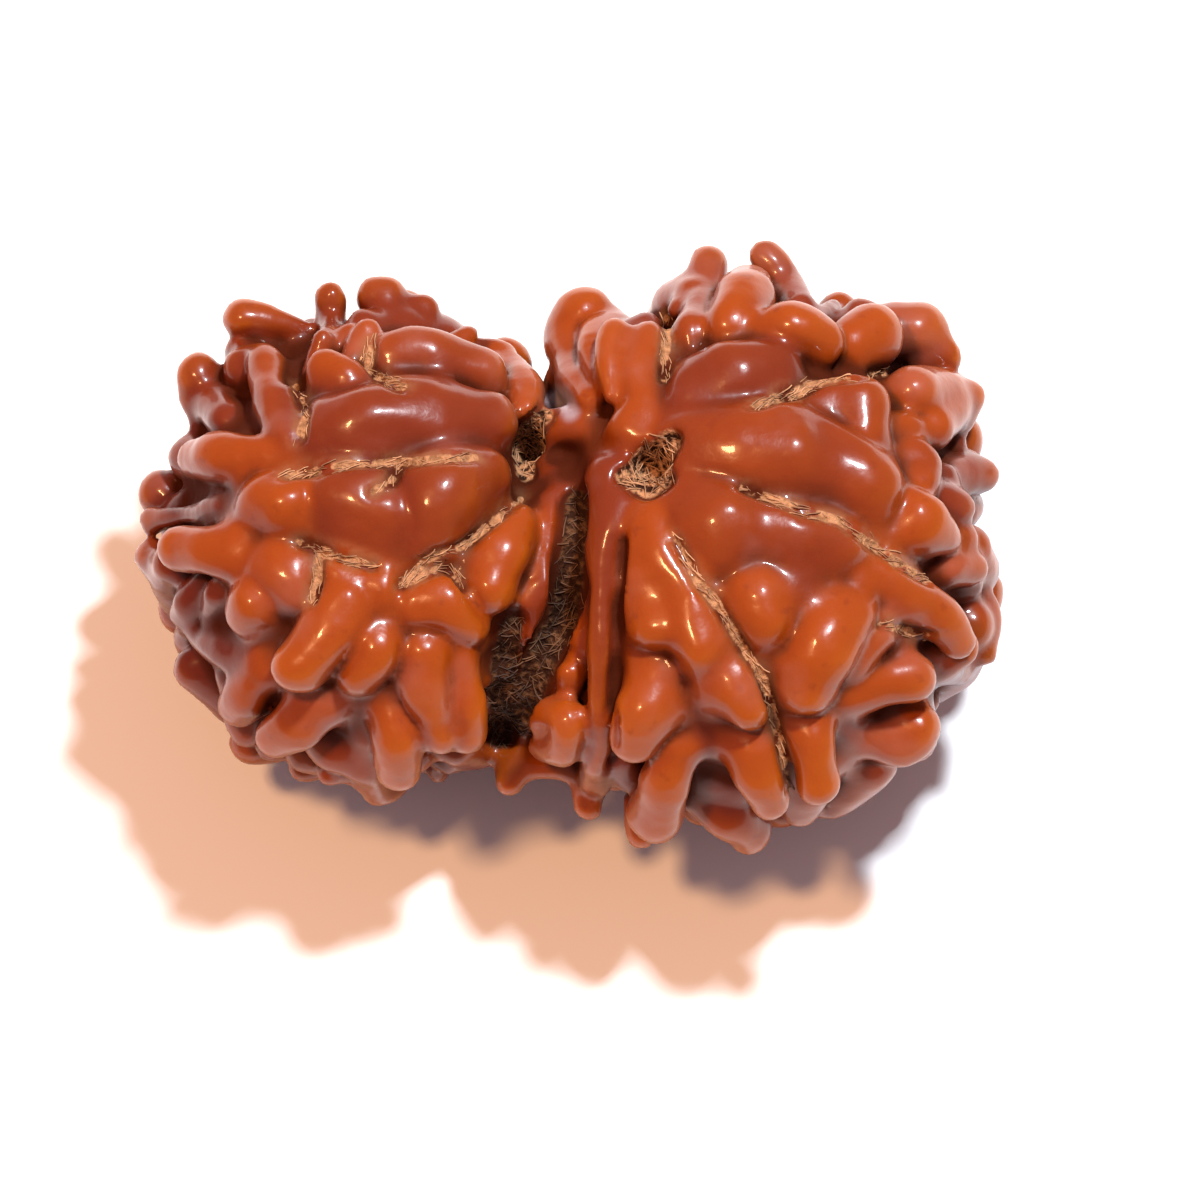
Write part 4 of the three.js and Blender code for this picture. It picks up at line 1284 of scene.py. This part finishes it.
def scatter_tree():
    """The tree that lays strands over a skin, and the identifier of each of its inputs."""
    tree = bpy.data.node_groups.new("scatter_strands", "GeometryNodeTree")
    tree.interface.new_socket(name="Skin", in_out="INPUT", socket_type="NodeSocketGeometry")
    tree.interface.new_socket(name="Strands", in_out="OUTPUT", socket_type="NodeSocketGeometry")
    sockets = {name: group_input(tree, name, *kind) for name, kind in STRAND_INPUTS.items()}
    start = tree.nodes.new("NodeGroupInput").outputs
    where = named_value(tree, start["Where"], "FLOAT")
    share = add_node(tree, "ShaderNodeMapRange", i0=where, i1=0.35, i2=0.9).outputs[0]
    density = calculate(tree, "MULTIPLY", share, start["Strands per square metre"])
    spread = {"Mesh": start["Skin"], "Density": density, "Seed": start["Seed"]}
    points = add_node(tree, "GeometryNodeDistributePointsOnFaces", **spread)
    laid = add_node(tree, "GeometryNodeInstanceOnPoints", Points=points.outputs["Points"])
    tree.links.new(strand_tube(tree, start), laid.inputs["Instance"])
    tree.links.new(strand_directions(tree, start, points.outputs["Normal"]), laid.inputs["Rotation"])
    tree.links.new(random_number(tree, 0.5, 1.4, start["Seed"]), laid.inputs["Scale"])
    real = add_node(tree, "GeometryNodeRealizeInstances", Geometry=laid.outputs[0])
    shift = strand_shift(tree, start["Bend"])
    bent = add_node(tree, "GeometryNodeSetPosition", Geometry=real.outputs[0], Offset=shift)
    finish = add_node(tree, "GeometryNodeSetMaterial", Geometry=bent.outputs[0], Material=start["Finish"])
    end = tree.nodes.new("NodeGroupOutput")
    tree.links.new(finish.outputs[0], end.inputs[0])
    return tree, sockets


strand_tree, strand_sockets = scatter_tree()
print("strand tree has", len(strand_tree.nodes), "nodes")

# %% [markdown]
# Fresh fibre is straw tan and lies open in the lines, and the fibre deep in the joint is old, dark and
# packed with dust. Both are dry and dull, with a patchy colour and a fine thread in the bump.

# %% The fibre's material
def make_fibre_finish(name, light, dark, roughness):
    """A dry finish that changes in patches from light to dark."""
    finish = bpy.data.materials.new(name)
    finish.use_nodes = True
    tree = finish.node_tree
    shader = tree.nodes["Principled BSDF"]
    place = add_node(tree, "ShaderNodeTexCoord").outputs["Object"]
    patch = stretch(tree, noise(tree, place, 700.0, 3.0), 0.35, 0.65)
    tree.links.new(blend(tree, patch, dark, light), shader.inputs["Base Color"])
    thread = bump(tree, 0.4, 0.00005, noise(tree, place, 6000.0, 2.0))
    tree.links.new(thread.outputs[0], shader.inputs["Normal"])
    tree.links.new(stretch(tree, patch, 0.0, 1.0, roughness, roughness + 0.15), shader.inputs["Roughness"])
    return finish


dry_fibre = make_fibre_finish("dry_fibre", (0.54, 0.28, 0.14, 1), (0.24, 0.11, 0.05, 1), 0.6)
old_fibre = make_fibre_finish("old_fibre", (0.16, 0.07, 0.030, 1), (0.035, 0.014, 0.007, 1), 0.65)
print("fibre finishes", dry_fibre.name, old_fibre.name)

# %% [markdown]
# The same tree makes all three beds of fibre. Its inputs are set on the modifier by their identifiers
# before anything is worked out, and then the result is taken as a plain mesh that needs no modifier.

# %% Scattering the strands
def scatter(name, where, finish, sizes):
    """Strands over the part of the seed that a measure marks, as one plain mesh."""
    piece = bpy.data.objects.new(name, seed_mesh.copy())
    bpy.context.collection.objects.link(piece)
    modifier = piece.modifiers.new("strands", "NODES")
    modifier.node_group = strand_tree
    modifier[strand_sockets["Where"]] = where
    modifier[strand_sockets["Finish"]] = finish
    for key, value in sizes.items():
        modifier[strand_sockets[key]] = value
    bpy.context.view_layer.update()
    evaluated = piece.evaluated_get(bpy.context.evaluated_depsgraph_get())
    mesh = bpy.data.meshes.new_from_object(evaluated)
    piece.modifiers.remove(modifier)
    piece.data = mesh
    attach(piece, "root")
    print(name, "has", len(mesh.polygons), "faces")


LINE_STRANDS = {"Strands per square metre": 1.8e7, "Length": 0.0005, "Seed": 7}
JOINT_STRANDS = {"Strands per square metre": 1.4e7, "Length": 0.0006, "Turn": 3.1, "Seed": 11}
PIT_STRANDS = {"Strands per square metre": 1.6e7, "Length": 0.0008, "Turn": 3.1, "Seed": 19}
scatter("line_fibres", "fibre", dry_fibre, LINE_STRANDS)
scatter("joint_fibres", "joint", old_fibre, JOINT_STRANDS)
scatter("pit_fibres", "pit", dry_fibre, PIT_STRANDS)

# %% [markdown]
# ## Table, lights and camera
# The pair lies on a plain white table under two small soft lamps and a pale room. The cool lamp stands
# to the right behind it and the warm one to the left before it, so each fills the other's shadow: one
# shadow comes out peach and the other lilac grey.

# %% Table and room
TABLE_REACH = 3.0
ROOM_COLOUR = (0.95, 0.68, 0.72, 1)
ROOM_STRENGTH = 0.36


def make_table():
    """A flat dull white square under the seed."""
    mesh = bpy.data.meshes.new("table")
    corners = [(TABLE_REACH * x, TABLE_REACH * y, 0) for x, y in ((-1, -1), (1, -1), (1, 1), (-1, 1))]
    mesh.from_pydata(corners, [], [(0, 1, 2, 3)])
    finish = bpy.data.materials.new("white_table")
    finish.use_nodes = True
    shader = finish.node_tree.nodes["Principled BSDF"]
    shader.inputs["Base Color"].default_value = (0.9, 0.9, 0.9, 1)
    shader.inputs["Roughness"].default_value = 0.9
    shader.inputs["Specular IOR Level"].default_value = 0.1
    mesh.materials.append(finish)
    table = bpy.data.objects.new("table", mesh)
    bpy.context.collection.objects.link(table)
    return table


make_table()
world = bpy.data.worlds.new("pale_room")
bpy.context.scene.world = world
world.use_nodes = True
world.node_tree.nodes["Background"].inputs["Color"].default_value = ROOM_COLOUR
world.node_tree.nodes["Background"].inputs["Strength"].default_value = ROOM_STRENGTH
bpy.context.scene.view_settings.view_transform = "Standard"
print("table", 2 * TABLE_REACH, "m wide under a room of strength", ROOM_STRENGTH)

# %% [markdown]
# The shadows show how large the lamps are: their edges are soft but the lobes can still be told in them,
# so each lamp is only a few centimetres wide. The small bright spots on the lobes come from them too.

# %% Lamps
def add_lamp(name, towards, distance, size, power, colour):
    """A square lamp that stands in a direction from the seed and shines at it."""
    light = bpy.data.lights.new(name, "AREA")
    light.size = size
    light.energy = power
    light.color = colour
    lamp = bpy.data.objects.new(name, light)
    way = unit(np.array(towards))
    lamp.location = way * distance + (0, 0, 0.01)
    lamp.rotation_euler = Vector(way).to_track_quat("Z", "Y").to_euler()
    bpy.context.collection.objects.link(lamp)
    print(name, "shines", power, "W from", lamp.location)


add_lamp("cool_lamp", (0.075, 0.072, 0.271), 0.29, 0.027, 1.3, (0.86, 0.93, 1.0))
add_lamp("warm_lamp", (-0.34, -0.12, 1.0), 0.5, 0.06, 1.75, (1.0, 0.51, 0.23))

# %% [markdown]
# The camera stands at the eye that the lobes were placed from, and its lens is worked out so that the
# frame is as wide at the seed as the sight lines take it to be. The lobes then fall where they were picked.

# %% Camera
SENSOR_WIDTH = 36.0

camera_data = bpy.data.cameras.new("camera")
camera_data.sensor_width = SENSOR_WIDTH
camera_data.lens = SENSOR_WIDTH * VIEW_DISTANCE / (FRAME_WIDTH / PIXELS_PER_MM)
camera_data.clip_start = 0.01
camera = bpy.data.objects.new("camera", camera_data)
camera.location = eye * MM
camera.rotation_euler = (math.pi / 2 - VIEW_ELEVATION, 0.0, 0.0)
bpy.context.collection.objects.link(camera)
bpy.context.scene.camera = camera
print("camera at", camera.location, "with a lens of", round(camera_data.lens), "mm")
